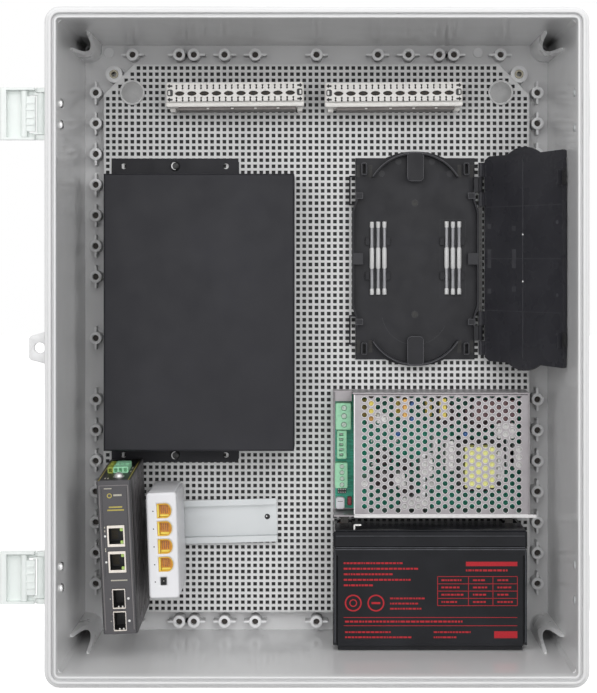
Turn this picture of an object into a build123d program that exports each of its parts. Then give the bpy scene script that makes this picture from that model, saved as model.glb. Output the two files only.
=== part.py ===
"""Plastic wall enclosure with a perforated mounting plate and the equipment on it.

Millimetres. X to the right, Y to the back, Z up, seen from the open front.
The origin is the centre of the four wall-fixing holes, on the back face.
"""
import os
from math import cos, radians, sqrt, tan

from build123d import *

# Enclosure body
BODY_DEPTH = 170.0
RIM_WIDTH = 400.0
RIM_HEIGHT = 500.0
RIM_CORNER = 11.5
RIM_LEDGE = 8.75
RIM_BAND_DEPTH = 12.0
RIM_SHOULDER = 2.5
RIM_SHOULDER_WIDTH = 2.8
RIM_EDGE_CHAMFER = 1.0
RIM_RIB_WIDTH = 2.4
RIM_GROOVE_WIDTH = 1.8
RIM_GROOVE_DEPTH = 4.0
RIM_LIP_DROP = 1.0
SIDE_WALL = 3.5
BACK_WALL = 3.5
WALL_DRAFT = 0.45
INNER_CORNER = 2.0
BACK_EDGE_CHAMFER = 1.8

# Wall-fixing holes and the channels that lead to them
FIXING_INSET = 15.5
FIXING_SPACING_X = RIM_WIDTH - 2 * FIXING_INSET
FIXING_SPACING_Z = RIM_HEIGHT - 2 * FIXING_INSET
FIXING_HOLE_R = 4.25
CHANNEL_WIDTH = 12.0
CHANNEL_WALL = 2.0
CHANNEL_ROUND = 8.0
CHANNEL_HIGH = 75.0
CHANNEL_LOW = 23.0
CHANNEL_SLOPE = 8.4

# Posts with threaded inserts, and rows of small screw bosses
POST_INSET = 35.0
POST_SPACING_X = RIM_WIDTH - 2 * POST_INSET
POST_SPACING_Z = RIM_HEIGHT - 2 * POST_INSET
POST_R = 7.0
POST_HOLE_R = 3.6
INSERT_BORE_R = 2.1
INSERT_LENGTH = 10.0
BOSS_R = 5.0
BOSS_HOLE_R = 2.5
BOSS_HOLE_DEPTH = 10.0
BOSS_PITCH = 25.0
BOSS_COLUMN_INSET = 20.0
BOSS_ROW_INSET = 19.0
BOSS_COLUMN_X = RIM_WIDTH / 2 - BOSS_COLUMN_INSET
BOSS_ROW_Z = RIM_HEIGHT / 2 - BOSS_ROW_INSET
BOSS_ROW_STEPS = (50.0, 75.0, 100.0, 112.0, 150.0)
EJECTOR_R = 4.0
EJECTOR_HEIGHT = 1.0
EJECTOR_INSET = 16.0
EJECTOR_Z = RIM_HEIGHT / 2 - EJECTOR_INSET
EJECTOR_X = (-170.5, 132.8)

# Padlock lug on the left side
LUG_OUT = 12.6
LUG_HEIGHT = 24.0
LUG_TIP_HEIGHT = 19.0
LUG_THICK = 5.0
LUG_HOLE_R = 4.0
LUG_HOLE_OUT = 4.8
LUG_Z = -1.1

# Mounting plate
PLATE_MARGIN_X = 26.5
PLATE_MARGIN_Z = 27.0
PLATE_WIDTH = RIM_WIDTH - 2 * PLATE_MARGIN_X
PLATE_HEIGHT = RIM_HEIGHT - 2 * PLATE_MARGIN_Z
PLATE_THICK = 2.5
PLATE_STANDOFF = 12.0
PLATE_CHAMFER = 25.0
GRID_PITCH = 5.0
GRID_HOLE = 3.0
GRID_COLUMNS = int((PLATE_WIDTH - 1) / GRID_PITCH)
GRID_ROWS = int((PLATE_HEIGHT - 1) / GRID_PITCH)
GRID_GROOVE = 0.5
GAP_EVERY_X = 10
GAP_EVERY_Z = 10
PLATE_FIXING_INSET_X = 23.5
PLATE_FIXING_INSET_Z = 23.0
PLATE_FIXING_X = PLATE_WIDTH / 2 - PLATE_FIXING_INSET_X
PLATE_FIXING_Z = PLATE_HEIGHT / 2 - PLATE_FIXING_INSET_Z
PLATE_FIXING_R = 10.25
PLATE_FIXING_HEAD = 2.2
PLATE_STEM_R = 3.9
PLATE_SEAT_R = 8.0
STEM_CLEARANCE = 0.15

# Latches on the left wall, swung open
LATCH_INSET = 77.5
LATCH_Z = RIM_HEIGHT / 2 - LATCH_INSET
LATCH_PIVOT_OUT = 5.5
LATCH_PIVOT_BACK = 25.0
LATCH_HEIGHT = 38.8
LATCH_REACH = 30.3
LATCH_ROOT = 4.5
LATCH_FRONT = 5.0
LATCH_BACK = 3.5
LATCH_FLOOR = 2.5
LATCH_EDGE = 1.8
LATCH_END_BAR = 5.0
LATCH_BARREL_R = 3.2
LATCH_PIN_R = 2.0
LATCH_EAR = 4.0
LATCH_EAR_R = 3.8
CLAW_PIVOT_OUT = 12.3
CLAW_BARREL_R = 2.4
CLAW_STUB_R = 1.5
CLAW_THICK = 2.2
CLAW_WIDTH = 26.0
PIN_CLEARANCE = 0.06
SIDE_GAP = 0.4
LATCH_SCREW_SPACING = 16.0
SCREW_R = 2.0
SCREW_HEAD_R = 3.6
SCREW_HEAD = 2.6
SCREW_CLEARANCE = 0.15
HEAD_TAPER = 25.0

# Hinge leaves on the right wall
HINGE_INSET = 75.0
HINGE_Z = RIM_HEIGHT / 2 - HINGE_INSET
HINGE_HEIGHT = 40.0
HINGE_THICK = 3.5
HINGE_DEPTH = 20.0
HINGE_SCREW_SPACING = 26.0
HINGE_SCREW_BACK = 18.5
HINGE_BARREL_R = 3.0
HINGE_PIN_R = 1.9
HINGE_PIN_ROOT_R = 1.5
HINGE_PIN_OUT = 1.0
HINGE_PIN_BACK = 15.6
HINGE_PIN_FREE = 14.0

# Terminal strips
STRIP_LENGTH = 109.6
STRIP_HEIGHT = 20.0
STRIP_FRONT = 37.6
STRIP_BODY_DEPTH = 16.0
STRIP_DROP = 28.3
STRIP_Z = PLATE_HEIGHT / 2 - STRIP_DROP
STRIP_LEFT_X = -64.9
STRIP_RIGHT_X = 61.4
STRIP_TILT = 0.5
STRIP_SLOTS = 20
STRIP_SLOT_PITCH = 4.88
STRIP_SLOT = (1.3, 3.8)
STRIP_SLOT_Z = 3.9
STRIP_MIDDLE_Z = 1.2
STRIP_OVAL = (7.4, 3.4)
STRIP_SLOT_DEPTH = 4.0
STRIP_STEP = 3.0
STRIP_STEP_HEIGHT = 5.0
FRAME_LENGTH = 97.0
FRAME_WIDTH = 19.0
FRAME_SHEET = 1.0

# Black sheet-metal box
BOX_LEFT = -166.7
BOX_RIGHT = -17.7
BOX_DROP = 91.8
BOX_LENGTH = 216.9
BOX_TOP = PLATE_HEIGHT / 2 - BOX_DROP
BOX_BOTTOM = BOX_TOP - BOX_LENGTH
BOX_HEIGHT = 60.0
BOX_SHEET = 1.2
BOX_BEND = 1.6
FLANGE_RIGHT = -63.0
FLANGE_OUT = 15.0
FLANGE_CORNER = 3.0
FLANGE_HOLE_X = (-156.9, -115.0, -73.6)
FLANGE_HOLE_Z = (BOX_TOP + 8.8, BOX_BOTTOM - 9.3)
FLANGE_HOLE_R = 2.4
BOX_SCREW_HEAD_R = 4.0
RAIL_SCREW_HEAD_R = 2.8

# Splice tray, its lid and sleeves
TRAY_X = 80.0
TRAY_DROP = 158.3
TRAY_Z = PLATE_HEIGHT / 2 - TRAY_DROP
TRAY_HALF_WIDTH = 51.2
TRAY_NECK_HALF_WIDTH = 48.4
TRAY_HALF_HEIGHT = 81.8
TRAY_ARC_HALF_HEIGHT = 87.2
TRAY_ARC_HALF_WIDTH = 24.0
TRAY_NECK_Z = 47.0
TRAY_SHOULDER_Z = 38.0
TRAY_DEPTH = 11.0
TRAY_FLOOR = 2.0
TRAY_WALL = 1.6
TRAY_RING_R = 41.0
TONGUE_WIDTH = 13.4
TONGUE_LENGTH = 24.0
TRAY_HOLE_Z = 45.3
TRAY_HOLE_R = 2.4
LID_HINGE_GAP = 1.3
LID_OPEN = 121.5
LID_THICK = 2.0
LID_RIM = 1.6
LID_CLIP = 1.5
LID_KNUCKLE_R = 1.7
LID_PIN_R = 0.8
LID_HINGE_Z = 60.0
LID_KNUCKLE_OFF = 12.0
SLEEVE_LENGTH = 59.2
SLEEVE_R = 1.7
SLEEVE_PITCH = 5.0
SLEEVE_GROUP_X = 30.3

# Power supply
SUPPLY_LEFT = 13.6
SUPPLY_RIGHT = 169.0
SUPPLY_RISE = 110.0
SUPPLY_LENGTH = 98.4
SUPPLY_BOTTOM = SUPPLY_RISE - RIM_HEIGHT / 2
SUPPLY_TOP = SUPPLY_BOTTOM + SUPPLY_LENGTH
SUPPLY_HEIGHT = 40.0
SUPPLY_SHEET = 1.2
COVER_LEFT = 29.6
VENT_R = 2.1
VENT_PITCH = 6.0
VENT_COLUMNS = 24
VENT_ROWS = 16
VENT_STEP_X = 3
VENT_STEP_Z = 3
BOARD_UNDER = 6.0
BOARD_THICK = 1.6
SUPPLY_GAP = 0.3
SUPPLY_OPEN_HEIGHT = 14.0
COVER_SIDE_HEIGHT = 10.0
COVER_LIP = 12.0

# Places of the board's parts: left, right, then bottom and top above the supply's
# lower edge, then height above the plate
TERMINAL_INPUT = (15.4, 27.6, 67.6, 88.8, 23.0)
INPUT_SCREW_X = 22.0
INPUT_SCREWS_Z = (85.0, 78.5, 71.6)
SUPPLY_PLUG = (16.4, 24.2, 44.0, 66.8, 20.0)
PLUG_HOLE_Z = 63.5
PLUG_PITCH = 4.1
TERMINAL_OUTPUT = (14.8, 24.8, 20.6, 40.8, 22.0)
OUTPUT_SCREW_X = 20.4
OUTPUT_SCREW_Z = 38.0
OUTPUT_PITCH = 4.9
SUPPLY_HEADER = (17.0, 24.0, 15.0, 20.0, 10.0)
SUPPLY_RELAY = (15.6, 22.4, 3.4, 12.6, 18.0)
SUPPLY_FUSE = (25.0, 28.4, 5.6, 12.4, 12.0)
TRANSFORMER = (117.4, 142.0, 22.4, 55.8, 30.0)
CORE_BARS = ((113.0, 117.0, 18.6, 59.4, 24.0), (142.4, 147.4, 18.6, 59.4, 24.0),
             (113.0, 147.4, 18.6, 22.0, 24.0), (113.0, 147.4, 56.2, 59.4, 24.0))
HEAT_SINKS = ((84.6, 86.6, 12.0, 48.0, 32.0), (84.6, 94.0, 48.0, 50.0, 32.0),
              (40.0, 42.0, 10.0, 52.0, 32.0), (151.0, 153.0, 40.0, 76.0, 32.0))
FILM_CAPACITORS = ((36.0, 42.6, 78.0, 92.4, 25.0), (62.4, 67.4, 78.0, 93.4, 27.0),
                   (87.0, 92.4, 78.0, 92.0, 25.0))
# Round capacitors: centre in X and above the lower edge, radius, height above the plate
CAPACITORS = ((54.0, 28.0, 8.0, 32.0), (54.0, 46.0, 6.5, 30.0), (72.0, 22.0, 6.5, 31.0),
              (71.0, 40.0, 5.0, 26.0), (104.0, 80.0, 9.0, 33.0), (130.0, 78.0, 11.0, 34.0))

# Battery
BATTERY_WIDTH = 151.0
BATTERY_DEPTH = 65.0
BATTERY_CASE_HEIGHT = 79.6
BATTERY_LID_HEIGHT = 14.0
BATTERY_X = 88.4
BATTERY_CORNER = 1.6
BATTERY_SEAM = 1.0
BATTERY_GAP = 0.1
TAB_WIDTH = 6.3
TAB_HEIGHT = 6.5
TAB_SHEET = 0.8

# Mounting rail
RAIL_LENGTH = 140.0
RAIL_WIDTH = 35.0
RAIL_CHANNEL = 27.0
RAIL_DEPTH = 7.5
RAIL_SHEET = 1.0
RAIL_TILT = 1.5
RAIL_X = -102.0
RAIL_RISE = 101.3
RAIL_Z = RAIL_RISE - RIM_HEIGHT / 2
RAIL_SCREWS = ((-160.0, RAIL_Z - 1.3), (-40.0, RAIL_Z + 3.7))

# Industrial switch on the rail
SWITCH_WIDTH = 26.0
SWITCH_HEIGHT = 118.5
SWITCH_DEPTH = 88.0
SWITCH_X = -150.3
SWITCH_Z = RAIL_Z - 6.7
SWITCH_OFF_RAIL = 12.2
SWITCH_FRONT_THICK = 3.0
SWITCH_ROLL = 2.2
SWITCH_DROOP = 4.5
SWITCH_YAW = 1.0
JACK_OUTER = (13.4, 16.4)
JACK_HOLE = (11.4, 12.4)
JACK_DEPTH = 14.0
JACK_Z = (16.6, -3.4)
CAGE_OUTER = (9.8, 15.2)
CAGE_HOLE = (8.8, 13.6)
CAGE_DEPTH = 16.0
CAGE_Z = (-31.9, -49.2)
EARTH_SCREW = (2.5, -74.0)

# White four-port terminal on the rail
HUB_WIDTH = 22.0
HUB_HEIGHT = 81.5
HUB_DEPTH = 76.0
HUB_X = -118.1
HUB_Z = RAIL_Z - 6.5
HUB_OFF_RAIL = 12.0
HUB_ROLL = 2.0
HUB_JACK = (10.8, 11.0)
HUB_JACK_DEPTH = 13.0
HUB_JACK_PITCH = 13.65
HUB_JACK_X = 1.9
HUB_JACK_TOP_Z = 26.6
HUB_SOCKET = (4.4, 5.8)
HUB_SOCKET_Z = -27.4

# Levels along Y, from the driving sizes
FLOOR_Y = -BACK_WALL
PLATE_BACK_Y = FLOOR_Y - PLATE_STANDOFF
PLATE_Y = PLATE_BACK_Y - PLATE_THICK
RIM_Y = -BODY_DEPTH
RIM_BACK_Y = RIM_Y + RIM_BAND_DEPTH
SLOPE = tan(radians(WALL_DRAFT))
OPEN_HALF_W = RIM_WIDTH / 2 - RIM_LEDGE
OPEN_HALF_H = RIM_HEIGHT / 2 - RIM_LEDGE
INNER_HALF_W = OPEN_HALF_W - (BODY_DEPTH - BACK_WALL) * SLOPE
INNER_HALF_H = OPEN_HALF_H - (BODY_DEPTH - BACK_WALL) * SLOPE
CORNERS = [(sx, sz) for sx in (-1, 1) for sz in (-1, 1)]


def inner_half_width(y):
    """Half the clear width between the side walls at depth y."""
    return INNER_HALF_W + (FLOOR_Y - y) * SLOPE


def outer_half_width(y):
    """Half the width over the side walls at depth y."""
    return inner_half_width(y) + SIDE_WALL


def slab(outline, y_back, y_front):
    """An X-Z outline carried forwards from y_back to y_front."""
    plane = Plane(origin=(0, y_back, 0), x_dir=(1, 0, 0), z_dir=(0, -1, 0))
    return extrude(plane * outline, y_back - y_front)


def drafted(width, height, corner, y_back, y_front):
    """A block with cut corners whose sides lean outwards towards the front."""
    plane = Plane(origin=(0, y_back, 0), x_dir=(1, 0, 0), z_dir=(0, -1, 0))
    outline = plane * chamfer(Rectangle(width, height).vertices(), corner)
    return extrude(outline, y_back - y_front, taper=-WALL_DRAFT)


def block(x0, x1, y0, y1, z0, z1):
    """A box between two corners."""
    size = Box(abs(x1 - x0), abs(y1 - y0), abs(z1 - z0))
    return Pos((x0 + x1) / 2, (y0 + y1) / 2, (z0 + z1) / 2) * size


def along_y(x, y0, y1, z, radius):
    """A round bar along Y."""
    return Pos(x, (y0 + y1) / 2, z) * Rot(90, 0, 0) * Cylinder(radius, abs(y1 - y0))


def along_z(x, y, z0, z1, radius):
    """A round bar along Z."""
    return Pos(x, y, (z0 + z1) / 2) * Cylinder(radius, abs(z1 - z0))


def rim_outline(inset):
    """The rim's outline, moved in from its outer edge."""
    corner = max(RIM_CORNER - inset, INNER_CORNER)
    return RectangleRounded(RIM_WIDTH - 2 * inset, RIM_HEIGHT - 2 * inset, corner)


def upright(x, y, z0, z1, radius, sides):
    """A bar of few sides along Z."""
    plane = Plane(origin=(x, y, min(z0, z1)), x_dir=(1, 0, 0), z_dir=(0, 0, 1))
    return extrude(plane * RegularPolygon(radius, sides), abs(z1 - z0))


def many_sided(x, y0, y1, z, radius, sides, taper=0):
    """A bar of few sides along Y, for small repeated things."""
    plane = Plane(origin=(0, y0, 0), x_dir=(1, 0, 0), z_dir=(0, -1, 0))
    return extrude(plane * Pos(x, z) * RegularPolygon(radius, sides), y0 - y1, taper=taper)


def pan_screw(head_r, head_height, shank_r, length):
    """A pan-head screw along Y: its head in front of the origin, its shank behind."""
    head = many_sided(0, 0, -head_height, 0, head_r, 10, HEAD_TAPER)
    return head + many_sided(0, length, -head_height / 2, 0, shank_r, 8)


def pan_screw_x(x_seat, direction, y, z, length):
    """A pan-head screw along X: its head inside, its shank towards direction."""
    screw = pan_screw(SCREW_HEAD_R, SCREW_HEAD, SCREW_R, length)
    return Pos(x_seat, y, z) * Rot(0, 0, -90 * direction) * screw


def corner_channel():
    """The sloping wall round one wall-fixing hole, in the corner at +X +Z."""
    reach = SIDE_WALL
    outer = CHANNEL_WIDTH + CHANNEL_WALL
    y_top = PLATE_Y - CHANNEL_HIGH
    walls = []
    for width, corner in ((outer, CHANNEL_ROUND + CHANNEL_WALL), (CHANNEL_WIDTH, CHANNEL_ROUND)):
        x0 = INNER_HALF_W - width
        z0 = INNER_HALF_H - width
        solid = block(x0, INNER_HALF_W + reach, FLOOR_Y / 2, y_top, z0, INNER_HALF_H + reach)
        edge = solid.edges().filter_by(Axis.Y).sort_by(Axis.X)[:2].sort_by(Axis.Z)[0]
        walls.append(fillet(edge, corner))
    tube = walls[0] - walls[1]
    slant = 1 / sqrt(2)
    plane = Plane(origin=(INNER_HALF_W, 0, INNER_HALF_H), x_dir=(-slant, 0, -slant),
                  z_dir=(-slant, 0, slant))
    arch = outer * sqrt(2) - (CHANNEL_ROUND + CHANNEL_WALL) * (sqrt(2) - 1)
    low = CHANNEL_LOW - PLATE_Y
    top = -y_top + 10
    start = arch - (top - low) / CHANNEL_SLOPE
    outline = Polyline((start, top), (arch, low), (arch + 20, low), (arch + 20, top), close=True)
    wedge = extrude(plane * make_face(outline), 2 * outer, both=True)
    return tube - wedge


def boss_places():
    """Where each small screw boss stands, in X and Z."""
    last = int(BOSS_ROW_Z / BOSS_PITCH)
    steps = [BOSS_PITCH * n for n in range(2, last)]
    places = []
    for side in (-1, 1):
        places += [(side * BOSS_COLUMN_X, z) for z in [0] + steps + [-s for s in steps]]
        row = [0] + [s * x for x in BOSS_ROW_STEPS for s in (-1, 1)]
        places += [(x, side * BOSS_ROW_Z) for x in row]
    return places


def inner_space():
    """The room inside the walls, from the floor to past the rim."""
    return drafted(2 * INNER_HALF_W, 2 * INNER_HALF_H, INNER_CORNER, FLOOR_Y, RIM_Y - 1)


def outer_walls():
    """The body's outside, from the back to behind the rim."""
    width = 2 * (INNER_HALF_W + SIDE_WALL - BACK_WALL * SLOPE)
    height = 2 * (INNER_HALF_H + SIDE_WALL - BACK_WALL * SLOPE)
    body = drafted(width, height, INNER_CORNER + SIDE_WALL, 0, RIM_BACK_Y)
    return chamfer(body.faces().sort_by(Axis.Y)[-1].edges(), BACK_EDGE_CHAMFER)


def enclosure_base():
    """Back wall and side walls, with wall-fixing holes and screw holes."""
    cuts = [along_y(sx * FIXING_SPACING_X / 2, 1, FLOOR_Y - 1, sz * FIXING_SPACING_Z / 2,
                    FIXING_HOLE_R) for sx, sz in CORNERS]
    for x, y, z in latch_screw_places() + hinge_screw_places():
        side = 1 if x > 0 else -1
        cuts.append(block(side * (abs(x) - 2), side * (abs(x) + SIDE_WALL + 2),
                          y - SCREW_R, y + SCREW_R, z - SCREW_R, z + SCREW_R))
    return outer_walls().cut(inner_space(), *cuts)


def enclosure_rim():
    """The moulding's front rim with its shoulder, rib, groove and lip, and the padlock lug."""
    shoulder_y = RIM_Y + RIM_SHOULDER
    rib_out = RIM_SHOULDER_WIDTH
    groove_out = rib_out + RIM_RIB_WIDTH
    lip_out = groove_out + RIM_GROOVE_WIDTH
    rim = slab(rim_outline(0), RIM_BACK_Y, shoulder_y)
    rim = chamfer(rim.faces().sort_by(Axis.Y)[0].edges(), RIM_EDGE_CHAMFER)
    rim += slab(rim_outline(rib_out), shoulder_y + 1, RIM_Y)
    lug_top = RIM_WIDTH / 2 + LUG_OUT
    lug = Polyline((-INNER_HALF_W, LUG_HEIGHT / 2), (-RIM_WIDTH / 2, LUG_HEIGHT / 2),
                   (-lug_top, LUG_TIP_HEIGHT / 2), (-lug_top, -LUG_TIP_HEIGHT / 2),
                   (-RIM_WIDTH / 2, -LUG_HEIGHT / 2), (-INNER_HALF_W, -LUG_HEIGHT / 2), close=True)
    rim += slab(Pos(0, LUG_Z) * make_face(lug), RIM_BACK_Y + LUG_THICK, RIM_BACK_Y)
    ring = rim_outline(groove_out) - rim_outline(lip_out)
    lug_hole_x = -(RIM_WIDTH / 2 + LUG_HOLE_OUT)
    return rim.cut(
        outer_walls(),
        inner_space(),
        slab(ring, RIM_Y + RIM_GROOVE_DEPTH, RIM_Y - 1),
        slab(rim_outline(lip_out - 0.01), RIM_Y + RIM_LIP_DROP, RIM_Y - 1),
        along_y(lug_hole_x, RIM_BACK_Y + LUG_THICK + 1, RIM_BACK_Y - 1, LUG_Z, LUG_HOLE_R))


def corner_channels():
    """The sloping walls round the four wall-fixing holes."""
    channel = corner_channel() & inner_space()
    pair = [channel, channel.mirror(Plane.YZ)]
    return Compound(pair + [c.mirror(Plane.XY) for c in pair])


def base_posts():
    """The moulding's four insert posts and the four seats under the plate."""
    posts = []
    for sx, sz in CORNERS:
        x, z = sx * POST_SPACING_X / 2, sz * POST_SPACING_Z / 2
        post = many_sided(x, FLOOR_Y, PLATE_Y, z, POST_R, 16)
        posts.append(post - many_sided(x, PLATE_Y + INSERT_LENGTH, PLATE_Y - 1, z, POST_HOLE_R, 10))
        x, z = sx * PLATE_FIXING_X, sz * PLATE_FIXING_Z
        seat = many_sided(x, FLOOR_Y, PLATE_BACK_Y, z, PLATE_SEAT_R, 10)
        posts.append(seat - many_sided(x, PLATE_BACK_Y + 8, PLATE_BACK_Y - 1, z, PLATE_STEM_R, 8))
    return Compound(posts)


def base_bosses():
    """The moulding's small screw bosses and its two ejector discs."""
    bosses = []
    for x, z in boss_places():
        hole = many_sided(x, PLATE_Y + BOSS_HOLE_DEPTH, PLATE_Y - 1, z, BOSS_HOLE_R, 4)
        bosses.append(many_sided(x, FLOOR_Y, PLATE_Y, z, BOSS_R, 8) - hole)
    bosses += [many_sided(x, FLOOR_Y, FLOOR_Y - EJECTOR_HEIGHT, EJECTOR_Z, EJECTOR_R, 10)
               for x in EJECTOR_X]
    return Compound(bosses)


def latch_pivot():
    """Where a latch lever turns, in X and Y."""
    return -(RIM_WIDTH / 2 + LATCH_PIVOT_OUT), RIM_Y + LATCH_PIVOT_BACK


def latch_screw_places():
    """Where the latch screws seat on the inside of the left wall."""
    y = RIM_Y + LATCH_PIVOT_BACK
    offsets = (-LATCH_SCREW_SPACING / 2, LATCH_SCREW_SPACING / 2)
    return [(-inner_half_width(y), y, side * LATCH_Z + off) for side in (-1, 1) for off in offsets]


def hinge_screw_places():
    """Where the hinge screws seat on the inside of the right wall."""
    y = RIM_Y + HINGE_SCREW_BACK
    offsets = (-HINGE_SCREW_SPACING / 2, HINGE_SCREW_SPACING / 2)
    return [(inner_half_width(y), y, side * HINGE_Z + off) for side in (-1, 1) for off in offsets]


def post_inserts():
    """Brass threaded sleeves in the corner posts."""
    sleeves = []
    for sx, sz in CORNERS:
        x, z = sx * POST_SPACING_X / 2, sz * POST_SPACING_Z / 2
        sleeve = many_sided(x, PLATE_Y + INSERT_LENGTH, PLATE_Y + 0.3, z, POST_HOLE_R, 10)
        sleeves.append(sleeve - along_y(x, PLATE_Y + INSERT_LENGTH + 1, PLATE_Y - 1, z, INSERT_BORE_R))
    return Compound(sleeves)


def grid_x(column):
    return (column - (GRID_COLUMNS - 1) / 2) * GRID_PITCH


def grid_z(row):
    return (row - (GRID_ROWS - 1) / 2) * GRID_PITCH


def plate_screw_places():
    """Grid places of the screws that hold the black box and the rail."""
    return [(FLANGE_HOLE_X[1], z) for z in FLANGE_HOLE_Z] + list(RAIL_SCREWS)


def mounting_plate():
    """The perforated plate: upright ridges in front, and open gaps in some of the grid."""
    outline = chamfer(Rectangle(PLATE_WIDTH, PLATE_HEIGHT).vertices(), PLATE_CHAMFER)
    plate = slab(outline, PLATE_BACK_Y, PLATE_Y)
    half_w = (GRID_COLUMNS * GRID_PITCH) / 2
    half_h = (GRID_ROWS * GRID_PITCH) / 2
    cuts = []
    for column in range(GRID_COLUMNS):
        x = grid_x(column)
        length = min(half_h, half_h + half_w - abs(x) - PLATE_CHAMFER)
        cuts.append(block(x - GRID_HOLE / 2, x + GRID_HOLE / 2, PLATE_Y + GRID_GROOVE,
                          PLATE_Y - 1, -length + 1, length - 1))
    for column in range(GAP_EVERY_X // 2, GRID_COLUMNS, GAP_EVERY_X):
        for row in range(GAP_EVERY_Z // 2, GRID_ROWS, GAP_EVERY_Z):
            x, z = grid_x(column), grid_z(row)
            if abs(x) + abs(z) < half_w + half_h - PLATE_CHAMFER - GRID_PITCH:
                cuts.append(block(x - GRID_HOLE / 2, x + GRID_HOLE / 2, 0, -BODY_DEPTH,
                                  z - GRID_HOLE / 2, z + GRID_HOLE / 2))
    for x, z in plate_screw_places():
        cuts.append(block(x - GRID_HOLE / 2, x + GRID_HOLE / 2, 0, -BODY_DEPTH,
                          z - GRID_HOLE / 2, z + GRID_HOLE / 2))
    for sx, sz in CORNERS:
        cuts.append(many_sided(sx * POST_SPACING_X / 2, 0, -2 * BODY_DEPTH,
                               sz * POST_SPACING_Z / 2, POST_R + SIDE_GAP, 16))
    plate = plate.cut(*cuts)
    pads = [many_sided(sx * PLATE_FIXING_X, PLATE_BACK_Y, PLATE_Y, sz * PLATE_FIXING_Z,
                       PLATE_FIXING_R, 12) for sx, sz in CORNERS]
    stems = [many_sided(sx * PLATE_FIXING_X, 0, -BODY_DEPTH, sz * PLATE_FIXING_Z,
                        PLATE_STEM_R + STEM_CLEARANCE, 8) for sx, sz in CORNERS]
    return plate.fuse(*pads).cut(*stems)


def plate_fixings():
    """Round-headed fixings that hold the plate on its four seats."""
    fixings = []
    for sx, sz in CORNERS:
        x, z = sx * PLATE_FIXING_X, sz * PLATE_FIXING_Z
        head = many_sided(x, PLATE_Y, PLATE_Y - PLATE_FIXING_HEAD, z, PLATE_FIXING_R, 20, HEAD_TAPER)
        fixings.append(head + many_sided(x, PLATE_BACK_Y + 7, PLATE_Y - 1, z, PLATE_STEM_R, 8))
    return Compound(fixings)


def latch_parts(z_mid):
    """Bracket, lever, claw and pin of one latch, with the lever swung open."""
    px, py = latch_pivot()
    half = LATCH_HEIGHT / 2
    barrel_half = half - LATCH_EAR
    wall_x = -outer_half_width(py) - 0.15
    face_x = -RIM_WIDTH / 2
    bracket = block(wall_x, face_x, py - 12, py + 12, -half, half)
    for side in (-1, 1):
        z0, z1 = side * (barrel_half + SIDE_GAP), side * half
        ear = block(wall_x, px, py - LATCH_EAR_R, py + LATCH_EAR_R, z0, z1)
        ear += upright(px, py, z0, z1, LATCH_EAR_R, 12)
        bracket += ear
    bracket -= along_z(px, py, -half + 1, half + 1, LATCH_PIN_R + PIN_CLEARANCE)
    for off in (-LATCH_SCREW_SPACING / 2, LATCH_SCREW_SPACING / 2):
        bracket -= block(wall_x + 1, face_x - 1, py - SCREW_R, py + SCREW_R,
                         off - SCREW_R, off + SCREW_R)

    end_x = px - LATCH_REACH
    root_x = px - LATCH_ROOT
    front_y, back_y = py - LATCH_FRONT, py + LATCH_BACK
    floor_y = back_y - LATCH_FLOOR
    lever = block(end_x, root_x, front_y, back_y, -half, half)
    lever = chamfer(lever.edges().filter_by(Axis.Z).sort_by(Axis.X)[:2], 1.4)
    bar_x = px - CLAW_PIVOT_OUT - CLAW_BARREL_R - 0.6
    lever -= block(end_x + LATCH_END_BAR, bar_x, front_y - 1, floor_y,
                   -half + LATCH_EDGE, half - LATCH_EDGE)
    lever -= block(bar_x - 1, root_x + 1, front_y - 1, floor_y,
                   -half + LATCH_EDGE, half - LATCH_EDGE)
    lever -= block(bar_x + 6, root_x + 1, front_y - 1, back_y + 1,
                   -CLAW_WIDTH / 2 - 1, CLAW_WIDTH / 2 + 1)
    for side in (-1, 1):
        lever += block(root_x - 1, px, py - 2.6, py + LATCH_BACK - 0.3,
                       side * (CLAW_WIDTH / 2 + 1), side * barrel_half)
    lever += upright(px, py, -barrel_half, barrel_half, LATCH_BARREL_R, 12)
    lever -= along_z(px, py, -half - 1, half + 1, LATCH_PIN_R + PIN_CLEARANCE)
    cx, cy = px - CLAW_PIVOT_OUT, floor_y - CLAW_BARREL_R - 0.4
    lever -= along_z(cx, cy, -half - 1, half + 1, CLAW_STUB_R + PIN_CLEARANCE)

    claw_end = px - LATCH_BARREL_R - 1.0
    barrel_len = half - LATCH_EDGE - SIDE_GAP
    claw = upright(cx, cy, -barrel_len, barrel_len, CLAW_BARREL_R, 12)
    claw += along_z(cx, cy, -half, half, CLAW_STUB_R)
    claw += block(cx, claw_end, cy - CLAW_THICK / 2, cy + CLAW_THICK / 2,
                  -CLAW_WIDTH / 2, CLAW_WIDTH / 2)
    claw += block(claw_end - 1.8, claw_end, cy - CLAW_THICK / 2, cy + CLAW_THICK + 1.2,
                  -CLAW_WIDTH / 2, CLAW_WIDTH / 2)
    for z in (-8, -3, 3, 8):
        claw += block(cx + 1, claw_end - 0.6, cy - CLAW_THICK / 2 - 0.7, cy, z - 0.6, z + 0.6)
    pin = along_z(px, py, -half + 1, half, LATCH_PIN_R)
    return [Pos(0, 0, z_mid) * shape for shape in (bracket, lever, claw, pin)]


def latch_screws():
    """Two screws through the left wall into each latch bracket."""
    return Compound([pan_screw_x(x + 0.05, -1, y, z, SIDE_WALL + 4.0)
                     for x, y, z in latch_screw_places()])


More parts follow.
